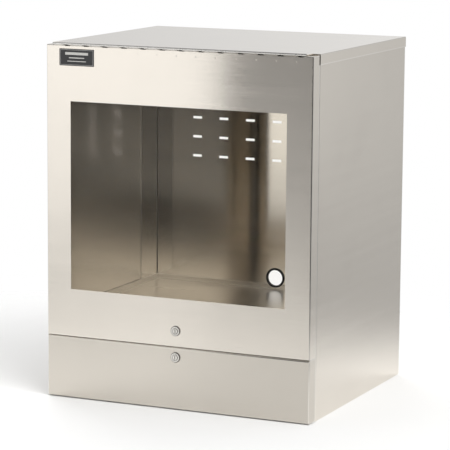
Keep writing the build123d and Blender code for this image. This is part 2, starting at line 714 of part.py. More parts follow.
REFLECTOR_MID = sum(CHANNEL_Y) / 2
REFLECTOR_TOP = CHANNEL_LOW - 0.2
REFLECTOR_HALF = 202.0
REFLECTOR_DROP = 20.0
with BuildPart() as lamp_reflector:
    with BuildSketch(Plane.YZ.offset(-REFLECTOR_HALF)):
        with BuildLine():
            crest = [
                (REFLECTOR_MID - 88, REFLECTOR_TOP - REFLECTOR_DROP - 10),
                (LAMP_Y[0] - 17, REFLECTOR_TOP),
                (LAMP_Y[0] + 17, REFLECTOR_TOP),
                (REFLECTOR_MID, REFLECTOR_TOP - REFLECTOR_DROP),
                (LAMP_Y[1] - 17, REFLECTOR_TOP),
                (LAMP_Y[1] + 17, REFLECTOR_TOP),
                (REFLECTOR_MID + 88, REFLECTOR_TOP - REFLECTOR_DROP - 10),
            ]
            trough = [(y, z - CHANNEL_SHEET) for y, z in reversed(crest)]
            Polyline(*crest, *trough, close=True)
        make_face()
    extrude(amount=2 * REFLECTOR_HALF)
    for x in (-150, 150):
        for y in LAMP_Y:
            rod("z", (x, y), 2.2, (REFLECTOR_TOP - 3, REFLECTOR_TOP + 1), Mode.SUBTRACT)
save(lamp_reflector.part, "lamp_reflector")

with BuildPart() as reflector_screws:
    for x in (-150, 150):
        for y in LAMP_Y:
            rod("z", (x, y), 3.6, (REFLECTOR_TOP - CHANNEL_SHEET - 2, REFLECTOR_TOP - CHANNEL_SHEET))
            rod("z", (x, y), 2.0, (REFLECTOR_TOP - CHANNEL_SHEET - 1, REFLECTOR_TOP))
save(reflector_screws.part, "reflector_screws")

LAMP_HALF = GLASS_HALF + CAP_LENGTH
HOLDER_THICKNESS = 12.0
LAMP_PIN = 1.2
PIN_PITCH = 6.35
with BuildPart() as uv_lamp_tubes:
    for y in LAMP_Y:
        rod("x", (y, LAMP_Z), LAMP_RADIUS, (-GLASS_HALF, GLASS_HALF))
        rod("x", (y, LAMP_Z), LAMP_RADIUS - 0.8, (-GLASS_HALF + 2, GLASS_HALF - 2), Mode.SUBTRACT)
save(uv_lamp_tubes.part, "uv_lamp_tubes")

with BuildPart() as uv_lamp_caps:
    for y in LAMP_Y:
        for side in (-1, 1):
            rod("x", (y, LAMP_Z), LAMP_RADIUS, sorted((side * GLASS_HALF, side * LAMP_HALF)))
            for offset in (-PIN_PITCH, PIN_PITCH):
                rod(
                    "x",
                    (y + offset, LAMP_Z),
                    LAMP_PIN,
                    sorted((side * LAMP_HALF, side * (LAMP_HALF + 7))),
                )
save(uv_lamp_caps.part, "uv_lamp_caps")

with BuildPart() as lamp_holders:
    for y in LAMP_Y:
        for side in (-1, 1):
            inner_face = side * (LAMP_HALF + 0.3)
            outer_face = side * (LAMP_HALF + 0.3 + HOLDER_THICKNESS)
            slab((inner_face, outer_face), (y - 11, y + 11), (LAMP_Z, CHANNEL_LOW))
            rod("x", (y, LAMP_Z), 15.0, sorted((inner_face, outer_face)))
            slab(
                (inner_face, inner_face + side * 8),
                (y - PIN_PITCH - 1.5, y + PIN_PITCH + 1.5),
                (LAMP_Z - 1.5, LAMP_Z + 1.5),
                Mode.SUBTRACT,
            )
save(lamp_holders.part, "lamp_holders")

CHANNEL_DECK = CHANNEL_LOW + CHANNEL_SHEET
with BuildPart() as lamp_ballast:
    slab((-150, 0), (40, 80), (CHANNEL_DECK, CHANNEL_DECK + 28))
    fillet(lamp_ballast.edges().filter_by(Axis.Z), 2.0)
    slab((-165, 15), (44, 76), (CHANNEL_DECK, CHANNEL_DECK + 1.5))
save(lamp_ballast.part, "lamp_ballast")

with BuildPart() as terminal_block:
    slab((60, 96), (55, 75), (CHANNEL_DECK, CHANNEL_DECK + 16))
    for x in (66, 74, 82, 90):
        rod("z", (x, 65), 2.6, (CHANNEL_DECK + 8, CHANNEL_DECK + 17), Mode.SUBTRACT)
save(terminal_block.part, "terminal_block")
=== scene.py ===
"""Looks of a stainless ultraviolet sterilizer cabinet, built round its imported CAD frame.

Metres, in the frame of the CAD model: +Z is up, +X is to the right of someone facing the door and +Y
runs from the door to the back. Every new piece takes its place from the boxes of the CAD nodes, and
its other sizes from the fields of its class.
"""

from __future__ import annotations

import json
import logging
import math
from collections.abc import Iterable, Mapping, Sequence
from dataclasses import dataclass
from enum import Enum

import bmesh
import bpy
import numpy as np
from mathutils import Matrix, Vector


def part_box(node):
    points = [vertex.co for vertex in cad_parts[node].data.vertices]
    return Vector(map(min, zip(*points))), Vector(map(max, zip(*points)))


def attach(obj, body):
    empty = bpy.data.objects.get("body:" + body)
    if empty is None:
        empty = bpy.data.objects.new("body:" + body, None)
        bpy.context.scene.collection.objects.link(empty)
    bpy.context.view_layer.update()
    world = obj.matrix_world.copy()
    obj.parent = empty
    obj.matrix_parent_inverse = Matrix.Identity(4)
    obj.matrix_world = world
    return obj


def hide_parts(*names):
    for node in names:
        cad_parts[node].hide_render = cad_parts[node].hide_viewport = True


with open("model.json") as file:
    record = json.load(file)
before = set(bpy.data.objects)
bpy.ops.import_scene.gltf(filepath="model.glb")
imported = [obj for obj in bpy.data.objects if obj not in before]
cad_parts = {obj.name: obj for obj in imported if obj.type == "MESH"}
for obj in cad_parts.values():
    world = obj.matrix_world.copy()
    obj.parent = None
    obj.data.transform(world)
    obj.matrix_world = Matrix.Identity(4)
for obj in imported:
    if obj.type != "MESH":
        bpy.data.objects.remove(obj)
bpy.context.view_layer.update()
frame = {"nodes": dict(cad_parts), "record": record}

LOG = logging.getLogger("cabinet")

Triple = tuple[float, float, float]
Box = tuple[Vector, Vector]


def middle(box: Box) -> Triple:
    """The middle of a box."""
    return tuple((low + high) / 2 for low, high in zip(*box))


# ------------------------------------------------------------------------------------------------
# Shader arithmetic
# ------------------------------------------------------------------------------------------------
class Signal:
    """A shader value that takes part in Python arithmetic, each operation adding its Math node."""

    def __init__(self, graph: Graph, socket: bpy.types.NodeSocket) -> None:
        """Wrap a node's output socket.

        Args:
            graph: The graph that the socket belongs to.
            socket: The output socket.
        """
        self.graph = graph
        self.socket = socket

    def _math(self, operation: str, first: Operand, second: Operand = 0.0) -> Signal:
        """Add a Math node.

        Args:
            operation: Its operation.
            first: The first operand.
            second: The second operand.

        Returns:
            The node's result.
        """
        node = self.graph.node("ShaderNodeMath", {"operation": operation}, {0: first, 1: second})
        return Signal(self.graph, node.outputs[0])

    def __add__(self, other: Operand) -> Signal:
        """Sum."""
        return self._math("ADD", self, other)

    def __radd__(self, other: Operand) -> Signal:
        """Sum with the number first."""
        return self._math("ADD", other, self)

    def __sub__(self, other: Operand) -> Signal:
        """Difference."""
        return self._math("SUBTRACT", self, other)

    def __rsub__(self, other: Operand) -> Signal:
        """Difference with the number first."""
        return self._math("SUBTRACT", other, self)

    def __mul__(self, other: Operand) -> Signal:
        """Product."""
        return self._math("MULTIPLY", self, other)

    def __rmul__(self, other: Operand) -> Signal:
        """Product with the number first."""
        return self._math("MULTIPLY", other, self)

    def __truediv__(self, other: Operand) -> Signal:
        """Quotient."""
        return self._math("DIVIDE", self, other)

    def __pow__(self, other: Operand) -> Signal:
        """Power."""
        return self._math("POWER", self, other)

    def __abs__(self) -> Signal:
        """Size without sign."""
        return self._math("ABSOLUTE", self)

    def least(self, other: Operand) -> Signal:
        """The smaller of two values."""
        return self._math("MINIMUM", self, other)

    def most(self, other: Operand) -> Signal:
        """The larger of two values."""
        return self._math("MAXIMUM", self, other)

    def fraction(self) -> Signal:
        """What is left above the whole number below."""
        return self._math("FRACT", self)

    def angle_from(self, other: Operand) -> Signal:
        """The angle whose tangent is this value over the other one."""
        return self._math("ARCTAN2", self, other)

    def rise(self, low: float, high: float) -> Signal:
        """A smooth step from 0 at low to 1 at high.

        Args:
            low: Where the step starts.
            high: Where it ends; below low, the step falls instead.

        Returns:
            The step's value.
        """
        settings = {"interpolation_type": "SMOOTHSTEP"}
        if low > high:
            node = self.graph.node(
                "ShaderNodeMapRange", settings, {"Value": self, 1: high, 2: low, 3: 1.0, 4: 0.0}
            )
        else:
            node = self.graph.node("ShaderNodeMapRange", settings, {"Value": self, 1: low, 2: high})
        return Signal(self.graph, node.outputs[0])


Operand = Signal | float


class Graph:
    """The nodes of one material or of the world."""

    def __init__(self, owner: bpy.types.Material | bpy.types.World) -> None:
        """Empty the owner's node tree.

        Args:
            owner: A material or a world.
        """
        owner.use_nodes = True
        self.owner = owner
        self.tree = owner.node_tree
        self.tree.nodes.clear()
        self._place: bpy.types.NodeSocket | None = None

    @classmethod
    def for_material(cls, name: str) -> Graph:
        """Start a new material's graph."""
        return cls(bpy.data.materials.new(name))

    def node(
        self,
        kind: str,
        settings: Mapping[str, object] | None = None,
        inputs: Mapping[str | int, object] | None = None,
    ) -> bpy.types.Node:
        """Add one node.

        Args:
            kind: Its type.
            settings: Its properties, and under "stops" a ramp's positions and colours.
            inputs: Values, signals or sockets for its inputs, by name or number.

        Returns:
            The node.
        """
        made = self.tree.nodes.new(kind)
        for name, value in (settings or {}).items():
            if name == "stops":
                self._set_stops(made.color_ramp, value)
            else:
                setattr(made, name, value)
        for key, value in (inputs or {}).items():
            socket = made.inputs[key]
            if isinstance(value, Signal):
                self.tree.links.new(value.socket, socket)
            elif isinstance(value, bpy.types.NodeSocket):
                self.tree.links.new(value, socket)
            else:
                socket.default_value = value
        return made

    @staticmethod
    def _set_stops(ramp: bpy.types.ColorRamp, stops: Sequence[tuple[float, Triple]]) -> None:
        """Give a colour ramp its stops.

        Args:
            ramp: The ramp.
            stops: Positions and colours in rising order.
        """
        while len(ramp.elements) < len(stops):
            ramp.elements.new(1.0)
        for element, (position, colour) in zip(ramp.elements, stops):
            element.position = position
            element.color = (*colour, 1.0)

    def place(self) -> bpy.types.NodeSocket:
        """The point in the object's own space, which is the shared frame."""
        if self._place is None:
            self._place = self.node("ShaderNodeTexCoord").outputs["Object"]
        return self._place

    def axes(self, vector: bpy.types.NodeSocket | None = None) -> tuple[Signal, Signal, Signal]:
        """Split a vector into its three parts.

        Args:
            vector: The vector, or None for the point in space.

        Returns:
            The parts along x, y and z.
        """
        node = self.node("ShaderNodeSeparateXYZ", inputs={0: vector or self.place()})
        return tuple(Signal(self, output) for output in node.outputs)

    def noise(
        self,
        scale: Triple | float,
        detail: float = 2.0,
        roughness: float = 0.5,
        distortion: float = 0.0,
    ) -> Signal:
        """Smooth noise of the point in space.

        Args:
            scale: How many grains there are to the metre along x, y and z, or one number for all.
            detail: Octaves of finer grain.
            roughness: Weight of the finer grain.
            distortion: Curl of the pattern.

        Returns:
            A value about one half.
        """
        scales = (scale,) * 3 if isinstance(scale, float) else scale
        mapped = self.node("ShaderNodeMapping", inputs={"Vector": self.place(), "Scale": scales})
        node = self.node(
            "ShaderNodeTexNoise",
            inputs={
                "Vector": mapped.outputs[0],
                "Scale": 1.0,
                "Detail": detail,
                "Roughness": roughness,
                "Distortion": distortion,
            },
        )
        return Signal(self, node.outputs[0])

    def spots(self, scale: float, randomness: float = 1.0) -> Signal:
        """Distance to the nearest of scattered points, in cells of which there are scale to a metre."""
        node = self.node(
            "ShaderNodeTexVoronoi",
            inputs={"Vector": self.place(), "Scale": scale, "Randomness": randomness},
        )
        return Signal(self, node.outputs["Distance"])

    def blend(
        self, factor: Operand, first: Triple | bpy.types.NodeSocket, second: Triple
    ) -> bpy.types.NodeSocket:
        """Mix two colours.

        Args:
            factor: Share of the second one.
            first: A colour or a colour socket.
            second: A colour.

        Returns:
            The mixed colour.
        """
        base = (*first, 1.0) if isinstance(first, tuple) else first
        node = self.node(
            "ShaderNodeMix",
            {"data_type": "RGBA", "blend_type": "MIX"},
            {0: factor, 6: base, 7: (*second, 1.0)},
        )
        return node.outputs[2]

    def bumped(self, *layers: tuple[Signal, float]) -> bpy.types.NodeSocket:
        """A normal with layers of relief.

        Args:
            layers: Pairs of a height signal and the depth in metres that 1 stands for.

        Returns:
            The normal.
        """
        normal: bpy.types.NodeSocket | None = None
        for height, depth in layers:
            inputs: dict[str | int, object] = {"Height": height, "Distance": depth, "Strength": 1.0}
            if normal is not None:
                inputs["Normal"] = normal
            normal = self.node("ShaderNodeBump", inputs=inputs).outputs[0]
        return normal

    def surface(self, inputs: Mapping[str | int, object]) -> bpy.types.Material:
        """End a material with one principled shader.

        Args:
            inputs: Values, signals or sockets of the shader.

        Returns:
            The material.
        """
        shader = self.node("ShaderNodeBsdfPrincipled", inputs=inputs)
        return self.output(shader.outputs[0])

    def metal(
        self, base: bpy.types.NodeSocket, rough: Signal, *layers: tuple[Signal, float]
    ) -> bpy.types.Material:
        """End a material as bare metal.

        Args:
            base: Its colour.
            rough: Its roughness.
            layers: Its layers of relief, as for bumped.

        Returns:
            The material.
        """
        return self.surface(
            {
                "Base Color": base,
                "Metallic": 1.0,
                "Roughness": rough,
                "Normal": self.bumped(*layers),
            }
        )

    def output(self, shader: bpy.types.NodeSocket) -> bpy.types.Material:
        """Link a shader to the material's output."""
        self.node("ShaderNodeOutputMaterial", inputs={"Surface": shader})
        return self.owner

    def face_distances(self, box: Box) -> tuple[Signal, ...]:
        """Distance to the nearer face of a box along x, along y and along z."""
        low, high = box
        return tuple(
            (value - low[index]).least(high[index] - value)
            for index, value in enumerate(self.axes())
        )

    def edge_distance(self, box: Box) -> Signal:
        """Distance to the nearest edge of a box, for a point on its surface.

        It is the middle one of the three distances to the box's nearer faces along x, y and z.

        Args:
            box: Lowest and highest corner.

        Returns:
            The distance in metres.
        """
        first, second, third = self.face_distances(box)
        return first.least(second).most(first.most(second).least(third))

    def skin_distance(self, box: Box) -> Signal:
        """Distance to the nearest face of a box, which is nought on a sheet's outer face.

        Args:
            box: Lowest and highest corner.

        Returns:
            The distance in metres.
        """
        first, second, third = self.face_distances(box)
        return first.least(second).least(third)


# ------------------------------------------------------------------------------------------------
# Finishes
# ------------------------------------------------------------------------------------------------
class Lie(Enum):
    """How a sheet mostly stands, which decides the spread of its reflections."""

    WALL = "wall"
    DECK = "deck"


@dataclass(frozen=True)
class WeldRow:
    """A row of faint round spot-weld marks along x on a sheet's face.

    Attributes:
        height: Where the row is, along z.
        pitch: Distance between two marks.
        radius: Radius of a mark.
        depth: Depth of its dimple.
    """

    height: float
    pitch: float
    radius: float = 0.0026
    depth: float = 0.00006


@dataclass(frozen=True)
class BrushedSheet:
    """Stainless sheet with a level brushed grain, slow waves, pale worn edges and faint cloudiness.

    Attributes:
        tint: Colour of the clean metal.
        worn: Colour along the edges.
        roughness: Roughness of the outer face's grain.
        inner: Roughness of the smoother inner face.
        spread: Anisotropy of the grain on walls.
        line_scale: Brush lines to the metre.
        line_depth: Depth of the brush lines.
        wave_depth: Depth of the slow waves of the sheet.
        edge: Width of the worn edge.
        painted_shade_colour: Colour of the painted shade that stands for the shadow in a lapped seam.
        seam: Width of the painted shade line.
        corner: Reach of the painted shade in a folded corner, from the sheet's outer faces.
    """

    tint: Triple = (0.765, 0.717, 0.648)
    worn: Triple = (0.88, 0.85, 0.80)
    roughness: float = 0.145
    inner: float = 0.115
    spread: float = 1.0
    line_scale: float = 1300.0
    line_depth: float = 0.000028
    wave_depth: float = 0.0004
    edge: float = 0.0035
    # Painted shade for lapped seams: its colour, the width of its line and its reach in a corner.
    painted_shade_colour: Triple = (0.13, 0.115, 0.10)
    seam: float = 0.0038
    corner: float = 0.0055

    def seam_shade(self, graph: Graph, box: Box) -> Signal:
        """Share of painted shade along the front edges and in the upright corners of a sheet's side
        flanges.

        It is full within the seam's width of the box's front, and where the distances to the box's
        side and to its back are both under the corner's reach.

        Args:
            graph: The material's graph.
            box: The sheet's box.

        Returns:
            The share.
        """
        low, high = box
        x, y, _ = graph.axes()
        aside = (x - low.x).least(high.x - x)
        edge = (y - low.y).rise(self.seam, self.seam * 0.4)
        reach, full = self.corner, self.corner * 0.7
        bend = aside.rise(reach, full) * (high.y - y).rise(reach, full)
        return edge.most(bend)

    def material(
        self,
        name: str,
        box: Box,
        lie: Lie = Lie.WALL,
        welds: WeldRow | None = None,
        lapped: bool = False,
    ) -> bpy.types.Material:
        """Make the finish for one sheet.

        Args:
            name: Name of the material.
            box: The sheet's box.
            lie: How the sheet stands.
            welds: A row of weld marks on it.
            lapped: Whether painted shade lies along its side flanges, for the shadow in its laps.

        Returns:
            The material.
        """
        graph = Graph.for_material(name)
        fine = self.line_scale
        level = graph.noise((1.6, 1.6, fine), 2.0, 0.5)
        flat = graph.noise((1.6, fine, 1.6), 2.0, 0.5)
        normal = graph.node("ShaderNodeNewGeometry").outputs["Normal"]
        upward = abs(graph.axes(normal)[2]).rise(0.5, 0.9)
        lines = level + (flat - level) * upward
        streaks = graph.noise((1.1, 1.1, 46.0), 4.0, 0.62)
        broad = graph.noise((1.1, 46.0, 1.1), 4.0, 0.62)
        bands = streaks + (broad - streaks) * upward
        clouds = graph.noise(4.0, 4.0, 0.55, 0.4)
        smudges = graph.noise(19.0, 3.0, 0.6, 1.2).rise(0.58, 0.78)
        worn = graph.edge_distance(box).rise(self.edge, 0.0) * (0.55 + bands * 0.7)
        darker, paler = (tuple(part * share for part in self.tint) for share in (0.955, 1.04))
        base = graph.blend(clouds.rise(0.35, 0.75), self.tint, darker)
        base = graph.blend(bands.rise(0.30, 0.72) * 0.35, base, paler)
        base = graph.blend(worn, base, self.worn)
        outward = graph.skin_distance(box).rise(0.0008, 0.0003)
        rough = self.inner + outward * (self.roughness - self.inner)
        rough = rough - 0.02 + bands * 0.04 + smudges * 0.02 - worn * 0.03
        layers = [
            (graph.noise(2.6, 1.0, 0.4), self.wave_depth),
            (bands, 0.00003),
            (lines * (0.25 + 0.75 * outward), self.line_depth),
        ]
        # Painted shade: a dark line along the front edges of the side flanges and in the folded corners,
        # for the shadow in the laps.
        if lapped:
            painted_shade = self.seam_shade(graph, box) * (1.0 - outward) * 0.85
            base = graph.blend(painted_shade, base, self.painted_shade_colour)
            rough = rough + painted_shade * 0.25
        if welds is not None:
            x, _, z = graph.axes()
            across = ((x / welds.pitch + 0.5).fraction() - 0.5) * welds.pitch
            reach = (across * across + (z - welds.height) * (z - welds.height)) ** 0.5
            dimple = reach.rise(welds.radius * 0.5, welds.radius)
            rough = rough + (1.0 - dimple) * 0.06
            layers.append((dimple, welds.depth))
        return graph.surface(
            {
                "Base Color": base,
                "Metallic": 1.0,
                "Roughness": rough,
                "Anisotropic": self.spread if lie is Lie.WALL else 0.0,
                "Anisotropic Rotation": 0.25,
                "Normal": graph.bumped(*layers),
            }
        )


@dataclass(frozen=True)
class PlatedSteel:
    """Zinc-plated steel: bluish grey, with mottled spangle and a fine tooth.

    Attributes:
        tint: Colour of the plating.
        stained: Colour of its darker patches.
        roughness: Mean roughness.
        spangle: Patches to the metre.
        tooth: Depth of the fine relief.
    """

    tint: Triple = (0.66, 0.67, 0.68)
    stained: Triple = (0.50, 0.50, 0.49)
    roughness: float = 0.30
    spangle: float = 260.0
    tooth: float = 0.00002

    def material(self, name: str) -> bpy.types.Material:
        """Make the finish under a name."""
        graph = Graph.for_material(name)
        patches = graph.spots(self.spangle)
        mottle = graph.noise(90.0, 4.0, 0.6)
        stain = patches.rise(0.1, 0.9) * 0.5 + mottle.rise(0.4, 0.8) * 0.4
        base = graph.blend(stain, self.tint, self.stained)
        rough = self.roughness + mottle * 0.16 - 0.08
        grain = graph.noise(1500.0, 2.0)
        return graph.metal(base, rough, (grain, self.tooth), (patches, self.tooth))


@dataclass(frozen=True)
class BrightMetal:
    """Smooth bright metal, such as chrome or polished aluminium, with hairline scratches and haze.

    Attributes:
        tint: Colour of the metal.
        roughness: Roughness of the polish.
        scratch_scale: Scratches to the metre.
        scratch_depth: Their depth.
    """

    tint: Triple
    roughness: float = 0.09
    scratch_scale: float = 700.0
    scratch_depth: float = 0.000003

    def material(self, name: str) -> bpy.types.Material:
        """Make the finish under a name."""
        graph = Graph.for_material(name)
        hair = graph.noise((self.scratch_scale, 40.0, self.scratch_scale * 0.3), 3.0, 0.7, 0.3)
        haze = graph.noise(130.0, 4.0, 0.6)
        dull = tuple(part * 0.86 for part in self.tint)
        base = graph.blend(haze.rise(0.45, 0.8), self.tint, dull)
        rough = self.roughness + haze * 0.10 + hair.rise(0.6, 0.8) * 0.08
        return graph.metal(base, rough, (hair, self.scratch_depth))


@dataclass(frozen=True)
class LockNickel:
    """Nickel plate of a lock's head, with painted shade towards its rim and round its plug, for the
    rim's dark reflection and the shadow in the plug's gap.

    Attributes:
        tint: Colour of the plate.
        painted_shade_colour: Colour of the painted shade.
        plug: Radius of the plug.
        rim: Radius where the painted shade of the rim is fullest.
        fade: Width over which the painted shade fades.
        roughness: Roughness of the plate.
        tooth: Depth of its fine relief.
    """

    tint: Triple = (0.74, 0.72, 0.68)
    painted_shade_colour: Triple = (0.10, 0.09, 0.08)
    plug: float = 0.0063
    rim: float = 0.0118
    fade: float = 0.0022
    roughness: float = 0.14
    tooth: float = 0.00001

    def material(self, name: str, box: Box) -> bpy.types.Material:
        """Make the finish for one lock.

        Args:
            name: Name of the material.
            box: The box of the lock's part, which is centred on the lock's axis.

        Returns:
            The material.
        """
        graph = Graph.for_material(name)
        x, _, z = graph.axes()
        centre = middle(box)
        across, up = x - centre[0], z - centre[2]
        reach = (across * across + up * up) ** 0.5
        speck = graph.noise(420.0, 3.0, 0.6)
        # Painted shade: a dark ring at the rim stands for its dark reflection, and one round the plug
        # for the shadow in its gap.
        ring = reach.rise(self.rim - self.fade, self.rim)
        gap = abs(reach - self.plug).rise(self.fade * 0.45, 0.0001)
        painted_shade = ring.most(gap) * (0.72 + speck * 0.4)
        base = graph.blend(painted_shade, self.tint, self.painted_shade_colour)
        rough = self.roughness + speck * 0.10 + painted_shade * 0.2
        return graph.metal(base, rough, (speck, self.tooth))


@dataclass(frozen=True)
class Coating:
    """A coloured coat or moulding: enamel, rubber or plastic, with mottled colour and a fine texture.

    Attributes:
        tint: Its colour.
        shade: Its colour where it is dirtier or more worn.
        roughness: Mean roughness.
        grain: Texture cells to the metre.
        relief: Depth of the texture.
        specular: Strength of the gloss.
    """

    tint: Triple
    shade: Triple
    roughness: float
    grain: float
    relief: float
    specular: float = 0.5

    def material(self, name: str) -> bpy.types.Material:
        """Make the finish under a name."""
        graph = Graph.for_material(name)
        mottle = graph.noise(28.0, 5.0, 0.62)
        skin = graph.noise(self.grain, 2.0, 0.5)
        dust = graph.noise(240.0, 3.0, 0.7).rise(0.62, 0.8)
        base = graph.blend(mottle.rise(0.35, 0.75) * 0.8 + dust * 0.2, self.tint, self.shade)
        return graph.surface(
            {
                "Base Color": base,
                "Roughness": self.roughness + mottle * 0.12 - 0.06 + dust * 0.05,
                "Specular IOR Level": self.specular,
                "Normal": graph.bumped((skin, self.relief)),
            }
        )


@dataclass(frozen=True)
class ClearGlass:
    """Clear glazing seen through, with a gloss that grows towards grazing angles and faint wipe marks.

    Attributes:
        tint: What it lets through.
        index: Refractive index of the gloss.
        gloss: Roughness of the gloss.
        film: Share of the wipe marks that shows.
    """

    tint: Triple = (0.97, 0.965, 0.95)
    index: float = 1.18
    gloss: float = 0.02
    film: float = 0.004

    def material(self, name: str) -> bpy.types.Material:
        """Make the finish under a name."""
        graph = Graph.for_material(name)
        wipe = graph.noise((7.0, 7.0, 16.0), 4.0, 0.6, 1.5).rise(0.5, 0.8)
        ripple = graph.noise(3.0, 0.0)
        normal = graph.bumped((ripple, 0.00005))
        clear = graph.node("ShaderNodeBsdfTransparent", inputs={"Color": (*self.tint, 1.0)})
        shine = graph.node(
            "ShaderNodeBsdfPrincipled",
            inputs={
                "Base Color": (0.9, 0.9, 0.9, 1.0),
                "Metallic": 1.0,
                "Roughness": self.gloss + wipe * 0.05,
                "Normal": normal,
            },
        )
        mirror = graph.node("ShaderNodeFresnel", inputs={"IOR": self.index, "Normal": normal})
        share = Signal(graph, mirror.outputs[0]) * 0.9 + wipe * self.film
        mixed = graph.node(
            "ShaderNodeMixShader", inputs={0: share, 1: clear.outputs[0], 2: shine.outputs[0]}
        )
        return graph.output(mixed.outputs[0])


@dataclass(frozen=True)
class PrintedPlate:
    """A black plate with a plain pale border line and plain pale bars, which carry no words.

    Attributes:
        ground: Colour of the plate.
        ink: Colour of the border and the bars.
        inset: How far the border stands in from the plate's edge.
        line: Width of the border line.
        soft: Width over which the ink's edges fade.
        bars: Heights of the bars as shares of the plate's height, with their half lengths and half
            heights as shares of its width and height.
    """

    ground: Triple = (0.012, 0.012, 0.013)
    ink: Triple = (0.62, 0.61, 0.58)
    inset: float = 0.0022
    line: float = 0.0006
    soft: float = 0.0001
    bars: tuple[Triple, ...] = ((0.72, 0.33, 0.075), (0.47, 0.22, 0.028), (0.27, 0.27, 0.02))

    def material(self, name: str, box: Box) -> bpy.types.Material:
        """Make the finish for one plate.

        Args:
            name: Name of the material.
            box: The plate's box, which faces along y.

        Returns:
            The material.
        """
        low, high = box
        graph = Graph.for_material(name)
        x, _, z = graph.axes()
        across = abs(x - middle(box)[0])
        inward = (x - low.x).least(high.x - x).least((z - low.z).least(high.z - z))
        inner = self.inset + self.line
        mask = inward.rise(self.inset, self.inset + self.soft)
        mask = mask * inward.rise(inner + self.soft, inner)
        for share, half_length, half_height in self.bars:
            centre = low.z + share * (high.z - low.z)
            reach = half_length * (high.x - low.x)
            tall = half_height * (high.z - low.z)
            inside = abs(z - centre).rise(tall + self.soft, tall)
            mask = mask.most(across.rise(reach + self.soft, reach) * inside)
        wear = graph.noise(160.0, 4.0, 0.65)
        ground = graph.blend(wear.rise(0.55, 0.85) * 0.5, self.ground, (0.06, 0.06, 0.06))
        return graph.surface(
            {
                "Base Color": graph.blend(mask * (0.75 + wear * 0.3), ground, self.ink),
                "Roughness": 0.30 + wear * 0.16,
                "Coat Weight": 0.25,
                "Coat Roughness": 0.12,
                "Normal": graph.bumped((mask, 0.00004), (wear, 0.00001)),
            }
        )


SHEET = BrushedSheet()
# A darker tint for the drawer front: painted shade, for the darker reflection that the front shows.
SHADED_SHEET = BrushedSheet(tint=(0.63, 0.59, 0.53))
SCUFFED_SHEET = BrushedSheet(roughness=0.30, inner=0.28)
SIDE_SHEET = BrushedSheet(inner=0.165)
HINGE_STEEL = BrushedSheet(
    tint=(0.66, 0.645, 0.62), roughness=0.26, spread=0.3, edge=0.0004, wave_depth=0.00002
)


class Finishes:
    """The finish of each material slot, made once."""

    def __init__(self) -> None:
        """Make the finishes that don't depend on a piece's own size."""
        aluminium = BrightMetal((0.86, 0.87, 0.88), 0.14, 260.0, 0.000006)
        rubber = Coating((0.022, 0.022, 0.023), (0.06, 0.06, 0.058), 0.55, 2200.0, 0.00003, 0.35)
        enamel = Coating((0.80, 0.80, 0.78), (0.70, 0.70, 0.67), 0.34, 420.0, 0.00004)
        white = Coating((0.84, 0.84, 0.81), (0.74, 0.73, 0.68), 0.42, 1500.0, 0.00002)
        black = Coating((0.035, 0.035, 0.037), (0.075, 0.075, 0.075), 0.48, 1800.0, 0.00004)
        quartz = ClearGlass((0.97, 0.98, 1.0), 1.40, 0.02, 0.02)
        tungsten = PlatedSteel((0.30, 0.30, 0.31), (0.16, 0.16, 0.17), 0.45)
        self.by_slot: dict[str, bpy.types.Material] = {
            "zinc": PlatedSteel().material("zinc_plate"),
            "chrome": BrightMetal((0.80, 0.795, 0.78), 0.10).material("chrome"),
            "reflector": aluminium.material("polished_aluminium"),
            "cap": BrightMetal((0.78, 0.78, 0.78), 0.26).material("satin_aluminium"),
            "rubber": rubber.material("black_rubber"),
            "white": enamel.material("white_enamel"),
            "holder": white.material("white_moulding"),
            "black_plastic": black.material("black_moulding"),
            "pane": ClearGlass().material("clear_pane"),
            "tube": quartz.material("quartz_glass"),
            "plate": PrintedPlate().material("printed_plate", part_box("nameplate")),
        }
        self.filament = tungsten.material("tungsten")

    def dress(self, node: str, material: bpy.types.Material) -> None:
        """Give a CAD node a material in every one of its slots."""
        for holder in frame["nodes"][node].material_slots:
            holder.material = material
        LOG.info("%s keeps its CAD shape with finish %s", node, material.name)

    def dress_by_record(self, nodes: Iterable[str]) -> None:
        """Give CAD nodes the finish of the slot that the record names for them."""
        wanted = {row["node"]: row["material_slot"] for row in frame["record"]["subparts"]}
        for node in nodes:
            self.dress(node, self.by_slot[wanted[node]])

    def dress_sheets(
        self, nodes: Iterable[str], sheet: BrushedSheet = SHEET, lie: Lie = Lie.WALL, **marks: object
    ) -> None:
        """Give CAD sheets a brushed finish worked out from their own boxes.

        Args:
            nodes: Names of the sheets.
            sheet: The kind of sheet.
            lie: How they stand.
            marks: The welds or the painted seam shade of BrushedSheet.material.
        """
        for node in nodes:
            self.dress(node, sheet.material(f"brushed_{node}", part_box(node), lie, **marks))


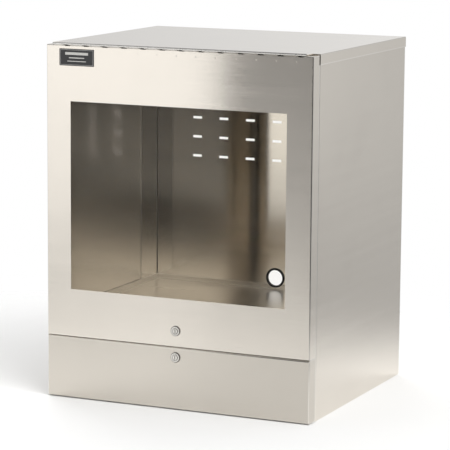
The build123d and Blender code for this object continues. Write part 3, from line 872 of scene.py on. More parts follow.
# ------------------------------------------------------------------------------------------------
# Surfaces from numpy
# ------------------------------------------------------------------------------------------------
@dataclass
class Surface:
    """Points and quads of one or more closed shells.

    Attributes:
        points: An array of shape (n, 3).
        quads: An array of shape (m, 4) of point numbers.
    """

    points: np.ndarray
    quads: np.ndarray

    @staticmethod
    def joined(parts: Sequence[Surface]) -> Surface:
        """Put several surfaces into one, each part's numbers moved past those before it."""
        starts = np.cumsum([0] + [len(part.points) for part in parts[:-1]])
        points = np.concatenate([part.points for part in parts])
        quads = np.concatenate([part.quads + start for part, start in zip(parts, starts)])
        return Surface(points, quads)

    def repeated(self, offsets: np.ndarray) -> Surface:
        """Copies of the surface, one moved by each offset, as one sum over copies and points."""
        copies = offsets[:, None, :] + self.points[None, :, :]
        starts = (np.arange(len(offsets)) * len(self.points))[:, None, None]
        return Surface(copies.reshape(-1, 3), (self.quads[None] + starts).reshape(-1, 4))

    def piece(
        self,
        name: str,
        material: bpy.types.Material,
        body: str,
        slot: str,
        replaces: Sequence[str] = (),
        sharp: float = 38.0,
    ) -> bpy.types.Object:
        """Make a finished piece of the surface.

        Points in one place are merged and normals are turned outwards, and edges sharper than an
        angle stay sharp.

        Args:
            name: Name of the piece.
            material: Its finish.
            body: CAD body that it rides on.
            slot: Material slot in the record; it is not used.
            replaces: CAD nodes that it stands for.
            sharp: Angle of a sharp edge in degrees.

        Returns:
            The piece.
        """
        mesh = bpy.data.meshes.new(name)
        mesh.from_pydata(self.points.tolist(), [], self.quads.tolist())
        work = bmesh.new()
        work.from_mesh(mesh)
        bmesh.ops.remove_doubles(work, verts=work.verts, dist=1e-6)
        bmesh.ops.dissolve_degenerate(work, dist=1e-7, edges=work.edges)
        bmesh.ops.recalc_face_normals(work, faces=work.faces)
        work.to_mesh(mesh)
        work.free()
        mesh.materials.append(material)
        mesh.shade_smooth()
        mesh.set_sharp_from_angle(angle=math.radians(sharp))
        made = bpy.data.objects.new(name, mesh)
        bpy.context.scene.collection.objects.link(made)
        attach(made, body)
        if replaces:
            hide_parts(*replaces)
        LOG.info("%s: %d faces on body %s", name, len(mesh.polygons), body)
        return made


def grid_quads(rows: int, columns: int, closed_rows: bool, closed_columns: bool) -> np.ndarray:
    """Quads of a grid of points numbered row by row, each joining a point to the next in both ways.

    Args:
        rows: Number of rows.
        columns: Number of columns.
        closed_rows: Whether the last row joins the first.
        closed_columns: Whether the last column joins the first.

    Returns:
        An array of point numbers of shape (m, 4).
    """
    row = np.arange(rows if closed_rows else rows - 1)[:, None]
    column = np.arange(columns if closed_columns else columns - 1)[None, :]
    after_row, after_column = (row + 1) % rows, (column + 1) % columns
    corners = (
        row * columns + column,
        row * columns + after_column,
        after_row * columns + after_column,
        after_row * columns + column,
    )
    return np.stack([np.broadcast_to(c, (row.size, column.size)) for c in corners], -1).reshape(-1, 4)


def softened(
    corners: Sequence[tuple[float, float]], radii: Sequence[float], steps: int = 6
) -> np.ndarray:
    """A closed outline with its corners rounded.

    Each corner becomes the parabola (1-t)^2 A + 2t(1-t) C + t^2 B, where C is the corner and A and B
    lie on its two sides at the corner's radius from it.

    Args:
        corners: The outline's corners in order.
        radii: How far each corner's rounding reaches along its sides.
        steps: Points on each corner.

    Returns:
        An array of shape (n, 2).
    """
    corner = np.array(corners, float)
    reach = np.array(radii, float)[:, None]
    to_last = np.roll(corner, 1, axis=0) - corner
    to_next = np.roll(corner, -1, axis=0) - corner
    start = corner + to_last / np.linalg.norm(to_last, axis=1, keepdims=True) * reach
    end = corner + to_next / np.linalg.norm(to_next, axis=1, keepdims=True) * reach
    t = np.linspace(0.0, 1.0, steps)[None, :, None]
    curve = (1 - t) ** 2 * start[:, None] + 2 * t * (1 - t) * corner[:, None] + t**2 * end[:, None]
    return curve.reshape(-1, 2)


class Axis(Enum):
    """The axis that a turned piece stands along, as the order in which its parts are put."""

    X = (0, 1, 2)
    Y = (1, 0, 2)
    Z = (2, 0, 1)


def placed(
    along: np.ndarray, first: np.ndarray, second: np.ndarray, axis: Axis, centre: Triple
) -> np.ndarray:
    """Points with their distance along an axis and their two distances across it.

    Args:
        along: Distances along the axis.
        first: Distances along the first of the other two axes in x, y, z order.
        second: Distances along the second.
        axis: The axis.
        centre: The point that the distances are measured from.

    Returns:
        An array of shape (n, 3).
    """
    points = np.empty((along.size, 3))
    for column, values in zip(axis.value, (along, first, second)):
        points[:, column] = values.ravel()
    return points + np.array(centre)


def turned(
    profile: np.ndarray, axis: Axis, centre: Triple, segments: int = 64, closed: bool = True
) -> Surface:
    """A surface of revolution: the point at angle a is the profile's radius times (cos a, sin a).

    Args:
        profile: An array of (radius, distance along the axis).
        axis: The axis of the turn.
        centre: The point on the axis where the distance is nought.
        segments: Steps round the axis.
        closed: Whether the profile's end joins its start; if not, both ends lie on the axis.

    Returns:
        The surface.
    """
    angle = np.linspace(0.0, 2 * np.pi, segments, endpoint=False)[None, :]
    radius = profile[:, :1]
    along = np.broadcast_to(profile[:, 1:], (len(profile), segments))
    points = placed(along, radius * np.cos(angle), radius * np.sin(angle), axis, centre)
    return Surface(points, grid_quads(len(profile), segments, closed, True))


def swept(path: np.ndarray, radius: float, sides: int = 10) -> Surface:
    """A round wire along a path, with pointed ends.

    The point at angle a round a place on the path is the place plus the radius times cos a times one
    normal plus sin a times the other; the normals are square to the path's own direction.

    Args:
        path: An array of points.
        radius: The wire's radius.
        sides: Steps round it.

    Returns:
        The surface.
    """
    ahead = np.gradient(path, axis=0)
    ahead /= np.linalg.norm(ahead, axis=1, keepdims=True)
    helper = np.where(np.abs(ahead[:, 2:]) < 0.9, [[0.0, 0.0, 1.0]], [[0.0, 1.0, 0.0]])
    side = np.cross(ahead, helper)
    side /= np.linalg.norm(side, axis=1, keepdims=True)
    up = np.cross(side, ahead)
    size = np.full(len(path), radius)
    size[[0, -1]] = 0.0
    angle = np.linspace(0.0, 2 * np.pi, sides, endpoint=False)
    ring = side[:, None] * np.cos(angle)[None, :, None] + up[:, None] * np.sin(angle)[None, :, None]
    points = path[:, None] + ring * size[:, None, None]
    return Surface(points.reshape(-1, 3), grid_quads(len(path), sides, False, True))


def ball(radius: float, rows: int = 6, columns: int = 8) -> Surface:
    """A small ball: a half circle turned round z, with its poles closed.

    Args:
        radius: Its radius.
        rows: Points on the half circle.
        columns: Steps round z.

    Returns:
        The surface.
    """
    angle = np.linspace(0.0, np.pi, rows)
    profile = np.stack([radius * np.sin(angle), radius * np.cos(angle)], 1)
    profile[[0, -1], 0] = 0.0
    return turned(profile, Axis.Z, (0.0, 0.0, 0.0), columns, closed=False)


# ------------------------------------------------------------------------------------------------
# Sub-assemblies
# ------------------------------------------------------------------------------------------------
@dataclass
class SteelBody:
    """The outer sheets and the inner frame, which keep their CAD shapes.

    Attributes:
        walls: Sheets that mostly stand upright.
        sides: The side panels.
        decks: Sheets that mostly lie level.
        fittings: Small nodes that take the finish of their slot.
    """

    walls: tuple[str, ...] = ("cross_rail", "header_rail")
    sides: tuple[str, ...] = ("left_side_panel", "right_side_panel")
    decks: tuple[str, ...] = ("top_cover", "base_pan")
    fittings: tuple[str, ...] = ("door_strike", "door_seal", "door_switch")

    def build(self, finishes: Finishes) -> None:
        """Dress every sheet and fitting, the back panel with painted shade along its laps."""
        finishes.dress_sheets(self.walls)
        finishes.dress_sheets(self.sides, SIDE_SHEET)
        # The back panel takes painted shade along its laps and in its folded corners.
        finishes.dress_sheets(["back_panel"], lapped=True)
        finishes.dress_sheets(self.decks, lie=Lie.DECK)
        finishes.dress_sheets(["chamber_floor"], SCUFFED_SHEET, Lie.DECK)
        finishes.dress_by_record(self.fittings)


@dataclass
class ContinuousHinge:
    """The piano hinge.

    Attributes:
        nodes: Its two leaves and their pin.
    """

    nodes: tuple[str, ...] = ("hinge_body_leaf", "hinge_door_leaf", "hinge_pin")

    def build(self, finishes: Finishes) -> None:
        """Dress the leaves and the pin."""
        finishes.dress_sheets(self.nodes, HINGE_STEEL, Lie.DECK)


@dataclass
class FlipDoor:
    """The door's folded sheet, its glazing and its small parts.

    Attributes:
        weld_drop: How far the hinge's spot welds lie below the door's top edge.
        weld_pitch: Distance between two of them.
        fittings: Nodes that take the finish of their slot.
    """

    weld_drop: float = 0.014
    weld_pitch: float = 0.0508
    fittings: tuple[str, ...] = (
        "window_gasket",
        "window_pane",
        "retainer_studs",
        "retainer_nuts",
        "nameplate",
        "door_magnet",
    )

    def build(self, finishes: Finishes) -> None:
        """Dress the door."""
        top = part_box("door_panel")[1].z
        finishes.dress_sheets(["door_panel"], welds=WeldRow(top - self.weld_drop, self.weld_pitch))
        finishes.dress_sheets(["window_retainer"])
        finishes.dress_by_record(self.fittings)


@dataclass
class LockingDrawer:
    """The drawer's folded front, its box and their fixings.

    Attributes:
        fixings: Its studs and nuts.
    """

    fixings: tuple[str, ...] = ("drawer_studs", "drawer_nuts")

    def build(self, finishes: Finishes) -> None:
        """Dress the drawer."""
        # The drawer front's darker tint is painted shade.
        finishes.dress_sheets(["drawer_front"], SHADED_SHEET)
        finishes.dress_sheets(["drawer_box"])
        finishes.dress_by_record(self.fixings)


@dataclass
class CamLock:
    """A cam lock: a turned head with a threaded barrel, and its CAD plug, cam, nut and screw.

    Attributes:
        prefix: Start of the names of its CAD nodes.
        body: Body that its barrel rides on.
        bore: Radius of the barrel's bore.
        shank: Radius of the barrel.
        head_depth: Depth of the head.
        sunk: How far the face round the bore stands back from the rim.
        chamfer: How far the barrel's end is drawn in.
        run_out: Length over which the thread fades at either end.
        thread_pitch: Pitch of the barrel's thread.
        thread_depth: Depth of the thread.
        segments: Steps round the barrel.
        rows_per_turn: Rows to each turn of the thread.
    """

    prefix: str
    body: str
    bore: float = 0.00635
    shank: float = 0.0094
    head_depth: float = 0.003
    sunk: float = 0.0008
    chamfer: float = 0.0006
    run_out: float = 0.001
    thread_pitch: float = 0.0014
    thread_depth: float = 0.0005
    segments: int = 72
    rows_per_turn: int = 8

    def barrel(self) -> Surface:
        """The head and the barrel as one turned shell with a helical thread.

        The outline of the head and bore is rounded at its corners. On the barrel the radius is
        lowered by the depth times a wave of the distance in pitches less the angle in turns, which
        winds it into a thread, and the wave fades out at both ends.

        Returns:
            The surface.
        """
        low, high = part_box(f"{self.prefix}_barrel")
        nut_low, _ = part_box(f"{self.prefix}_nut")
        x, _, z = middle((low, high))
        head = (high.x - low.x) / 2
        collar = low.y + self.head_depth
        head_outline = softened(
            [
                (self.bore, low.y + self.sunk),
                (self.bore + 0.0012, low.y + self.sunk),
                (self.bore + 0.0017, low.y),
                (head - 0.0010, low.y),
                (head, low.y + 0.0012),
                (head, collar),
            ],
            [0.0002, 0.0002, 0.0003, 0.0009, 0.0006, 0.0001],
        )
        length = high.y - nut_low.y
        rows = int(length / self.thread_pitch * self.rows_per_turn)
        along = np.linspace(nut_low.y, high.y - self.chamfer, rows)
        shank = np.stack([np.full(rows, self.shank), along], 1)
        tail = np.array([(self.shank, collar), (self.shank, nut_low.y)])
        end = np.array([(self.shank - self.chamfer, high.y), (self.bore, high.y)])
        outline = np.concatenate([head_outline, tail, shank, end])
        angle = np.linspace(0.0, 2 * np.pi, self.segments, endpoint=False)[None, :]
        distance = outline[:, 1:]
        fade_in = np.clip((distance - nut_low.y) / self.run_out, 0.0, 1.0)
        fade = fade_in * np.clip((high.y - distance) / self.run_out, 0.0, 1.0)
        is_shank = (outline[:, :1] == self.shank) & (distance >= nut_low.y)
        wave = 0.5 + 0.5 * np.cos(2 * np.pi * (distance / self.thread_pitch - angle / (2 * np.pi)))
        radius = outline[:, :1] - self.thread_depth * wave * fade * is_shank
        spread = np.broadcast_to(distance, radius.shape)
        points = placed(spread, radius * np.cos(angle), radius * np.sin(angle), Axis.Y, (x, 0.0, z))
        return Surface(points, grid_quads(len(outline), self.segments, True, True))

    def build(self, finishes: Finishes) -> None:
        """Make the barrel and dress the rest."""
        barrel = f"{self.prefix}_barrel"
        nickel = LockNickel().material(f"nickel_{self.prefix}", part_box(barrel))
        name = f"{self.prefix}_threaded_barrel"
        self.barrel().piece(name, nickel, self.body, "chrome", [barrel])
        finishes.dress(f"{self.prefix}_plug", nickel)
        finishes.dress_by_record(f"{self.prefix}_{part}" for part in ("nut", "cam", "screw"))


@dataclass
class CableGrommet:
    """The rubber grommet in the back panel: two rounded lips round a waist.

    Attributes:
        bore: Radius of its hole.
        waist: Radius in the panel's hole.
        sheet: Thickness of the panel.
        corner: How far the lips' corners are rounded.
    """

    bore: float = 0.0205
    waist: float = 0.0233
    sheet: float = 0.0015
    corner: float = 0.0011

    def build(self, finishes: Finishes) -> None:
        """Turn the grommet's rounded outline round y."""
        low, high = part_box("cable_grommet")
        x, y, z = middle((low, high))
        lip = (high.x - low.x) / 2
        front, rear = y - self.sheet / 2, y + self.sheet / 2
        corners = [
            (self.bore, low.y),
            (lip, low.y),
            (lip, front),
            (self.waist, front),
            (self.waist, rear),
            (lip, rear),
            (lip, high.y),
            (self.bore, high.y),
        ]
        radii = [self.corner, self.corner, 0.0004, 0.0002, 0.0002, 0.0004, self.corner, self.corner]
        ring = turned(softened(corners, radii, 8), Axis.Y, (x, 0.0, z), 96)
        rubber = finishes.by_slot["rubber"]
        ring.piece("grommet_ring", rubber, "cabinet", "rubber", ["cable_grommet"], sharp=60.0)


@dataclass
class PanScrews:
    """A set of pan-head screws with cross recesses, in place of a node of plain ones.

    Attributes:
        node: CAD node that they stand for.
        body: Body that they ride on.
        axis: Axis that they lie along.
        head_radius: Radius of a head.
        head_height: Height of a head.
        shank_radius: Radius of a shank.
        recess: Half width of the cross recess, its half length and its depth.
        segments: Steps round a screw.
    """

    node: str
    body: str
    axis: Axis
    head_radius: float
    head_height: float
    shank_radius: float
    recess: Triple = (0.00045, 0.0020, 0.0010)
    segments: int = 48

    def screw(self, head_face: float, tip: float, centre: Triple) -> Surface:
        """One screw as a turned shell whose head is pressed in by a cross.

        The head is the dome height times the root of 1 less the squared share of its radius, lowered
        by the recess depth inside two crossed bars whose sides rise smoothly.

        Args:
            head_face: Where the underside of the head is, along the axis.
            tip: Where the shank ends.
            centre: A point on the screw's axis.

        Returns:
            The surface.
        """
        outward = 1.0 if head_face > tip else -1.0
        share = np.concatenate([np.linspace(0.0, 0.75, 16), np.linspace(0.8, 1.0, 8)])
        dome = self.head_height * (0.35 + 0.65 * np.sqrt(np.clip(1 - share**2, 0.0, 1.0)))
        below = [self.head_radius, self.shank_radius, self.shank_radius, 0.0]
        radius = np.concatenate([share * self.head_radius, below])
        height = np.concatenate([head_face + outward * dome, [head_face, head_face, tip, tip]])
        angle = np.linspace(0.0, 2 * np.pi, self.segments, endpoint=False)[None, :]
        across, up = radius[:, None] * np.cos(angle), radius[:, None] * np.sin(angle)
        half_width, half_length, depth = self.recess

        def bar(narrow: np.ndarray, wide: np.ndarray) -> np.ndarray:
            """Share of the recess's depth inside one bar of the cross."""
            inside = np.clip((half_width - np.abs(narrow)) / 0.0002 + 1.0, 0.0, 1.0)
            return inside * np.clip((half_length - np.abs(wide)) / 0.0003 + 1.0, 0.0, 1.0)

        on_head = (np.arange(len(radius)) < len(share))[:, None]
        pressed = np.maximum(bar(across, up), bar(up, across)) * depth * on_head
        along = height[:, None] - outward * pressed
        points = placed(along, across, up, self.axis, centre)
        return Surface(points, grid_quads(len(radius), self.segments, False, True))

    def build(self, finishes: Finishes, places: Sequence[tuple[float, float, Triple]]) -> None:
        """Make the screws.

        Args:
            finishes: The finishes.
            places: For each screw the underside of its head, its tip and a point on its axis.
        """
        screws = Surface.joined([self.screw(*place) for place in places])
        screws.piece(f"{self.node}_crossed", finishes.by_slot["zinc"], self.body, "zinc", [self.node])


@dataclass
class BallSlides:
    """The two telescopic slides: CAD channels with rows of steel balls in their cages.

    Attributes:
        outer_ball: Radius of the balls between the outer and the middle members.
        inner_ball: Radius of those between the middle and the inner members.
        pitch: Distance between two balls.
        cage: Thickness of the cage strips.
        overlap: Length of rail that members share when the drawer is out.
        sheet: Thickness of the channels.
        end_gap: How far the cages stop short of a channel's end.
        widths: Widths of the cages of the outer and the inner balls.
    """

    outer_ball: float = 0.0019
    inner_ball: float = 0.0015
    pitch: float = 0.009
    cage: float = 0.0006
    overlap: float = 0.215
    sheet: float = 0.0012
    end_gap: float = 0.004
    widths: tuple[float, float] = (0.0052, 0.0032)

    def balls(self, radius: float, places: Sequence[Triple]) -> Surface:
        """Rows of balls, each ball a copy moved along y.

        Args:
            radius: Radius of a ball.
            places: Where each row's cage starts.

        Returns:
            The surface.
        """
        y = np.arange(places[0][1], places[0][1] + self.overlap - 0.02, self.pitch) + 0.01
        rows = [np.stack([np.full(y.size, x), y, np.full(y.size, z)], 1) for x, _, z in places]
        return ball(radius).repeated(np.concatenate(rows))

    def cages(self, width: float, places: Sequence[Triple]) -> Surface:
        """Thin strips with rounded edges that hold the rows of balls.

        Each is a softened flat outline across the slide carried in a straight line along y, its two
        ends drawn in to a point.

        Args:
            width: Width of a strip.
            places: Where each strip starts.

        Returns:
            The surface.
        """
        half, thin = width / 2, self.cage / 2
        corners = [(-half, -thin), (half, -thin), (half, thin), (-half, thin)]
        outline = softened(corners, [thin * 0.9] * 4, 4)
        size = np.array([0.0, 1.0, 1.0, 0.0])[:, None]
        strips = []
        for across, start, height in places:
            y = start + np.array([0.0, 0.0, self.overlap, self.overlap])[:, None]
            x = across + outline[None, :, 0] * size
            z = height + outline[None, :, 1] * size
            points = np.stack([x, np.broadcast_to(y, x.shape), z], -1).reshape(-1, 3)
            strips.append(Surface(points, grid_quads(4, len(outline), False, True)))
        return Surface.joined(strips)

    def build(self, finishes: Finishes) -> None:
        """Dress the channels and add the balls and cages, which ride on the middle members.

        The outer balls run between the outer and the middle channel at the rear, and the inner ones
        between the middle and the inner channel at the front.
        """
        for hand, near, far in (("left", 1, 0), ("right", 0, 1)):
            parts = ("bracket", "outer", "middle", "inner")
            finishes.dress_by_record(f"{hand}_slide_{part}" for part in parts)
            outer, mid, inner = (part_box(f"{hand}_slide_{part}") for part in parts[1:])
            tops = [box[1].z - middle(box)[2] for box in (outer, mid, inner)]
            rear = mid[1].y - self.overlap - self.end_gap
            front = mid[0].y + self.end_gap
            balls, cages = [], []
            for large, small, start, radius, width, (top, low_top) in (
                (outer, mid, rear, self.outer_ball, self.widths[0], tops[:2]),
                (mid, inner, front, self.inner_ball, self.widths[1], tops[1:]),
            ):
                x = (large[near].x + small[far].x) / 2
                row = (top - self.sheet + low_top) / 2
                places = [(x, start, middle(mid)[2] + sign * row) for sign in (-1, 1)]
                balls.append(self.balls(radius, places))
                cages.append(self.cages(width, places))
            for kind, slot, made in (("balls", "chrome", balls), ("cages", "zinc", cages)):
                name = f"{hand}_slide_{kind}"
                finish = finishes.by_slot[slot]
                Surface.joined(made).piece(name, finish, f"{hand}_middle", slot)


@dataclass
class LampFixture:
    """The ultraviolet fixture: channel, reflector, holders, lamps with caps, stems and filaments.

    Attributes:
        wall: Thickness of the lamps' glass.
        draw: How far the glass draws in at its ends, and over what length.
        pin_offset: How far a pin is from the lamp's axis.
        pin_radius: Radius of a lamp pin.
        pin_length: Length of a lamp pin.
        stem: Radius and length of the glass stem behind each filament.
        coil: Radius, turns and wire radius of a filament.
        fittings: Nodes that take the finish of their slot.
    """

    wall: float = 0.0008
    draw: tuple[float, float] = (0.0016, 0.003)
    pin_offset: float = 0.00635
    pin_radius: float = 0.0012
    pin_length: float = 0.007
    stem: tuple[float, float] = (0.0035, 0.024)
    coil: Triple = (0.0011, 14.0, 0.00022)
    fittings: tuple[str, ...] = (
        "lamp_channel",
        "fixture_studs",
        "fixture_nuts",
        "lamp_reflector",
        "lamp_holders",
        "lamp_ballast",
        "terminal_block",
    )

    def lamps(self) -> list[tuple[float, float, float, float]]:
        """Each lamp's y and z, half glass length and radius, from the box of the tubes.

        Returns:
            One row for each lamp.
        """
        low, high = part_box("uv_lamp_tubes")
        radius = (high.z - low.z) / 2
        half = (high.x - low.x) / 2
        return [(y, (low.z + high.z) / 2, half, radius) for y in (low.y + radius, high.y - radius)]

    def tubes(self, finishes: Finishes) -> None:
        """Make the glass: a thin wall turned round x that draws in at both ends."""
        draw, length = self.draw
        parts = []
        for y, z, half, radius in self.lamps():
            outline = softened(
                [
                    (radius - draw, -half),
                    (radius, -half + length),
                    (radius, half - length),
                    (radius - draw, half),
                    (radius - draw - self.wall, half),
                    (radius - self.wall, half - length),
                    (radius - self.wall, -half + length),
                    (radius - draw - self.wall, -half),
                ],
                [0.0003, 0.0012, 0.0012, 0.0003, 0.0003, 0.0010, 0.0010, 0.0003],
            )
            parts.append(turned(outline, Axis.X, (0.0, y, z), 48))
        glass = Surface.joined(parts)
        tube = finishes.by_slot["tube"]
        glass.piece("uv_lamp_glass", tube, "cabinet", "tube", ["uv_lamp_tubes"], sharp=60.0)

    def caps(self, finishes: Finishes) -> None:
        """Make the caps: a crimped cup turned round x, with two round-ended pins."""
        low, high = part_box("uv_lamp_caps")
        parts = []
        for y, z, half, radius in self.lamps():
            for side in (-1, 1):
                end = (high.x if side > 0 else low.x) - side * self.pin_length
                mouth = side * half
                outline = softened(
                    [
                        (radius - 0.0015, mouth),
                        (radius, mouth),
                        (radius, mouth + (end - mouth) * 0.28),
                        (radius - 0.0004, mouth + (end - mouth) * 0.36),
                        (radius, mouth + (end - mouth) * 0.44),
                        (radius, end),
                        (radius - 0.0050, end),
                        (radius - 0.0054, end - side * 0.0006),
                        (0.0022, end - side * 0.0006),
                        (0.0022, mouth + side * 0.002),
                        (radius - 0.0015, mouth + side * 0.002),
                    ],
                    [0.0002, *[0.0003] * 4, 0.0012, 0.0003, 0.0003, 0.0002, 0.0002, 0.0002],
                    5,
                )
                parts.append(turned(outline, Axis.X, (0.0, y, z), 48))
                for offset in (-self.pin_offset, self.pin_offset):
                    tip = end + side * self.pin_length
                    turn = np.linspace(0.0, np.pi / 2, 7)
                    back = tip - side * self.pin_radius + side * self.pin_radius * np.sin(turn)
                    nose = np.stack([self.pin_radius * np.cos(turn), back], 1)
                    start = end - side * 0.001
                    pin = np.concatenate([[(0.0, start), (self.pin_radius, start)], nose])
                    pin[-1, 0] = 0.0
                    parts.append(turned(pin, Axis.X, (0.0, y + offset, z), 16, closed=False))
        cap = finishes.by_slot["cap"]
        Surface.joined(parts).piece("uv_lamp_end_caps", cap, "cabinet", "cap", ["uv_lamp_caps"])

    def stems(self, finishes: Finishes) -> None:
        """Make the glass stems inside the lamps' ends, each a flared rod turned round x."""
        stem_radius, stem_length = self.stem
        parts = []
        for y, z, half, radius in self.lamps():
            for side in (-1, 1):
                share = np.linspace(0.0, 1.0, 24)
                widening = np.clip(1 - share * 3.0, 0.0, 1.0) ** 2
                flare = stem_radius + (radius - 0.0035 - stem_radius) * widening
                pinch = flare * np.where(share > 0.97, 0.6, 1.0)
                along = side * (half - 0.003 - share * stem_length)
                profile = np.stack([pinch, along], 1)
                profile = np.concatenate([[(0.0, along[0])], profile, [(0.0, along[-1])]])
                parts.append(turned(profile, Axis.X, (0.0, y, z), 28, closed=False))
        Surface.joined(parts).piece("uv_lamp_stems", finishes.by_slot["tube"], "cabinet", "tube")

    def filaments(self, finishes: Finishes) -> None:
        """Make the filaments: a helix across each lamp's end between two lead wires.

        The helix's point at turn t is the coil radius times (cos 2 pi t, sin 2 pi t) off a straight
        line along y.
        """
        coil_radius, turns, wire = self.coil
        _, stem_length = self.stem
        parts = []
        for y, z, half, _ in self.lamps():
            for side in (-1, 1):
                x = side * (half - 0.003 - stem_length - 0.006)
                turn = np.linspace(0.0, turns, int(turns) * 12)
                reach = np.linspace(-0.0055, 0.0055, turn.size)
                around = x + coil_radius * np.cos(2 * np.pi * turn)
                upward = z + coil_radius * np.sin(2 * np.pi * turn)
                parts.append(swept(np.stack([around, y + reach, upward], 1), wire, 5))
                for sign in (-1, 1):
                    share = np.linspace(0.0, 1.0, 10)[:, None]
                    start = np.array([[x, y + sign * 0.0056, z]])
                    end = np.array([[x + side * 0.0070, y + sign * 0.0022, z]])
                    parts.append(swept(start + (end - start) * share, 0.0003, 6))
        Surface.joined(parts).piece("uv_lamp_filaments", finishes.filament, "cabinet", "zinc")

    def screws(self, finishes: Finishes) -> None:
        """Make the reflector's screws, whose heads face down."""
        low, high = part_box("reflector_screws")
        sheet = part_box("lamp_reflector")[1].z - 0.001
        places = []
        head = 0.0036
        for x in (low.x + head, high.x - head):
            for y, _, _, _ in self.lamps():
                places.append((sheet, high.z, (x, y, 0.0)))
        screws = PanScrews("reflector_screws", "cabinet", Axis.Z, head, 0.002, 0.002)
        screws.build(finishes, places)

    def build(self, finishes: Finishes) -> None:
        """Build and dress the whole fixture."""
        self.tubes(finishes)
        self.caps(finishes)
        self.stems(finishes)
        self.filaments(finishes)
        self.screws(finishes)
        finishes.dress_by_record(self.fittings)


@dataclass
class SlideScrews:
    """The screws of the slides and of the strike.

    Attributes:
        places: Where the slide screws are, along y.
        sheet: Thickness of the brackets and the slides.
        grip: How far a drawer screw reaches into the drawer's side.
        head: Radius of a head.
        shank: Radius of a shank.
        shallow: The slide screws' recess.
    """

    places: Triple = (-0.200, -0.030, 0.150)
    sheet: float = 0.0012
    grip: float = 0.004
    head: float = 0.0038
    shank: float = 0.002
    shallow: Triple = (0.0004, 0.0019, 0.0008)

    def slide_set(
        self, finishes: Finishes, node: str, body: str, height: float, face: float, tip: float
    ) -> None:
        """Make one set of slide screws, alike on the left and the right.

        Args:
            finishes: The finishes.
            node: CAD node that they stand for.
            body: Body that they ride on.
            height: Height of a head.
            face: Where the underside of a head on the right is, along x.
            tip: Where its shank ends.
        """
        z = middle(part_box("bracket_screws"))[2]
        rows = [(side * face, side * tip, (0.0, y, z)) for side in (-1, 1) for y in self.places]
        screws = PanScrews(node, body, Axis.X, self.head, height, self.shank, self.shallow)
        screws.build(finishes, rows)

    def build(self, finishes: Finishes) -> None:
        """Make the three sets of screws."""
        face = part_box("right_slide_bracket")[0].x - self.sheet
        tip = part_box("bracket_screws")[1].x
        self.slide_set(finishes, "bracket_screws", "cabinet", 0.0014, face, tip)
        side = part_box("drawer_box")[1].x
        face, tip = side + self.sheet, side - self.grip
        self.slide_set(finishes, "drawer_slide_screws", "drawer", 0.0016, face, tip)
        low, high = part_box("strike_screws")
        z = middle((low, high))[2]
        rise = 0.0022
        rows = [(low.y + rise, high.y, (x, 0.0, z)) for x in (low.x + self.head, high.x - self.head)]
        screws = PanScrews("strike_screws", "cabinet", Axis.Y, self.head, rise, self.shank)
        screws.build(finishes, rows)


# ------------------------------------------------------------------------------------------------
# Studio
# ------------------------------------------------------------------------------------------------
@dataclass(frozen=True)
class Panel:
    """A soft light panel.

    Attributes:
        name: Its name.
        place: Its centre.
        aim: The point that it faces.
        size: Its width and height.
        power: Its power in watts.
    """

    name: str
    place: Triple
    aim: Triple
    size: tuple[float, float]
    power: float


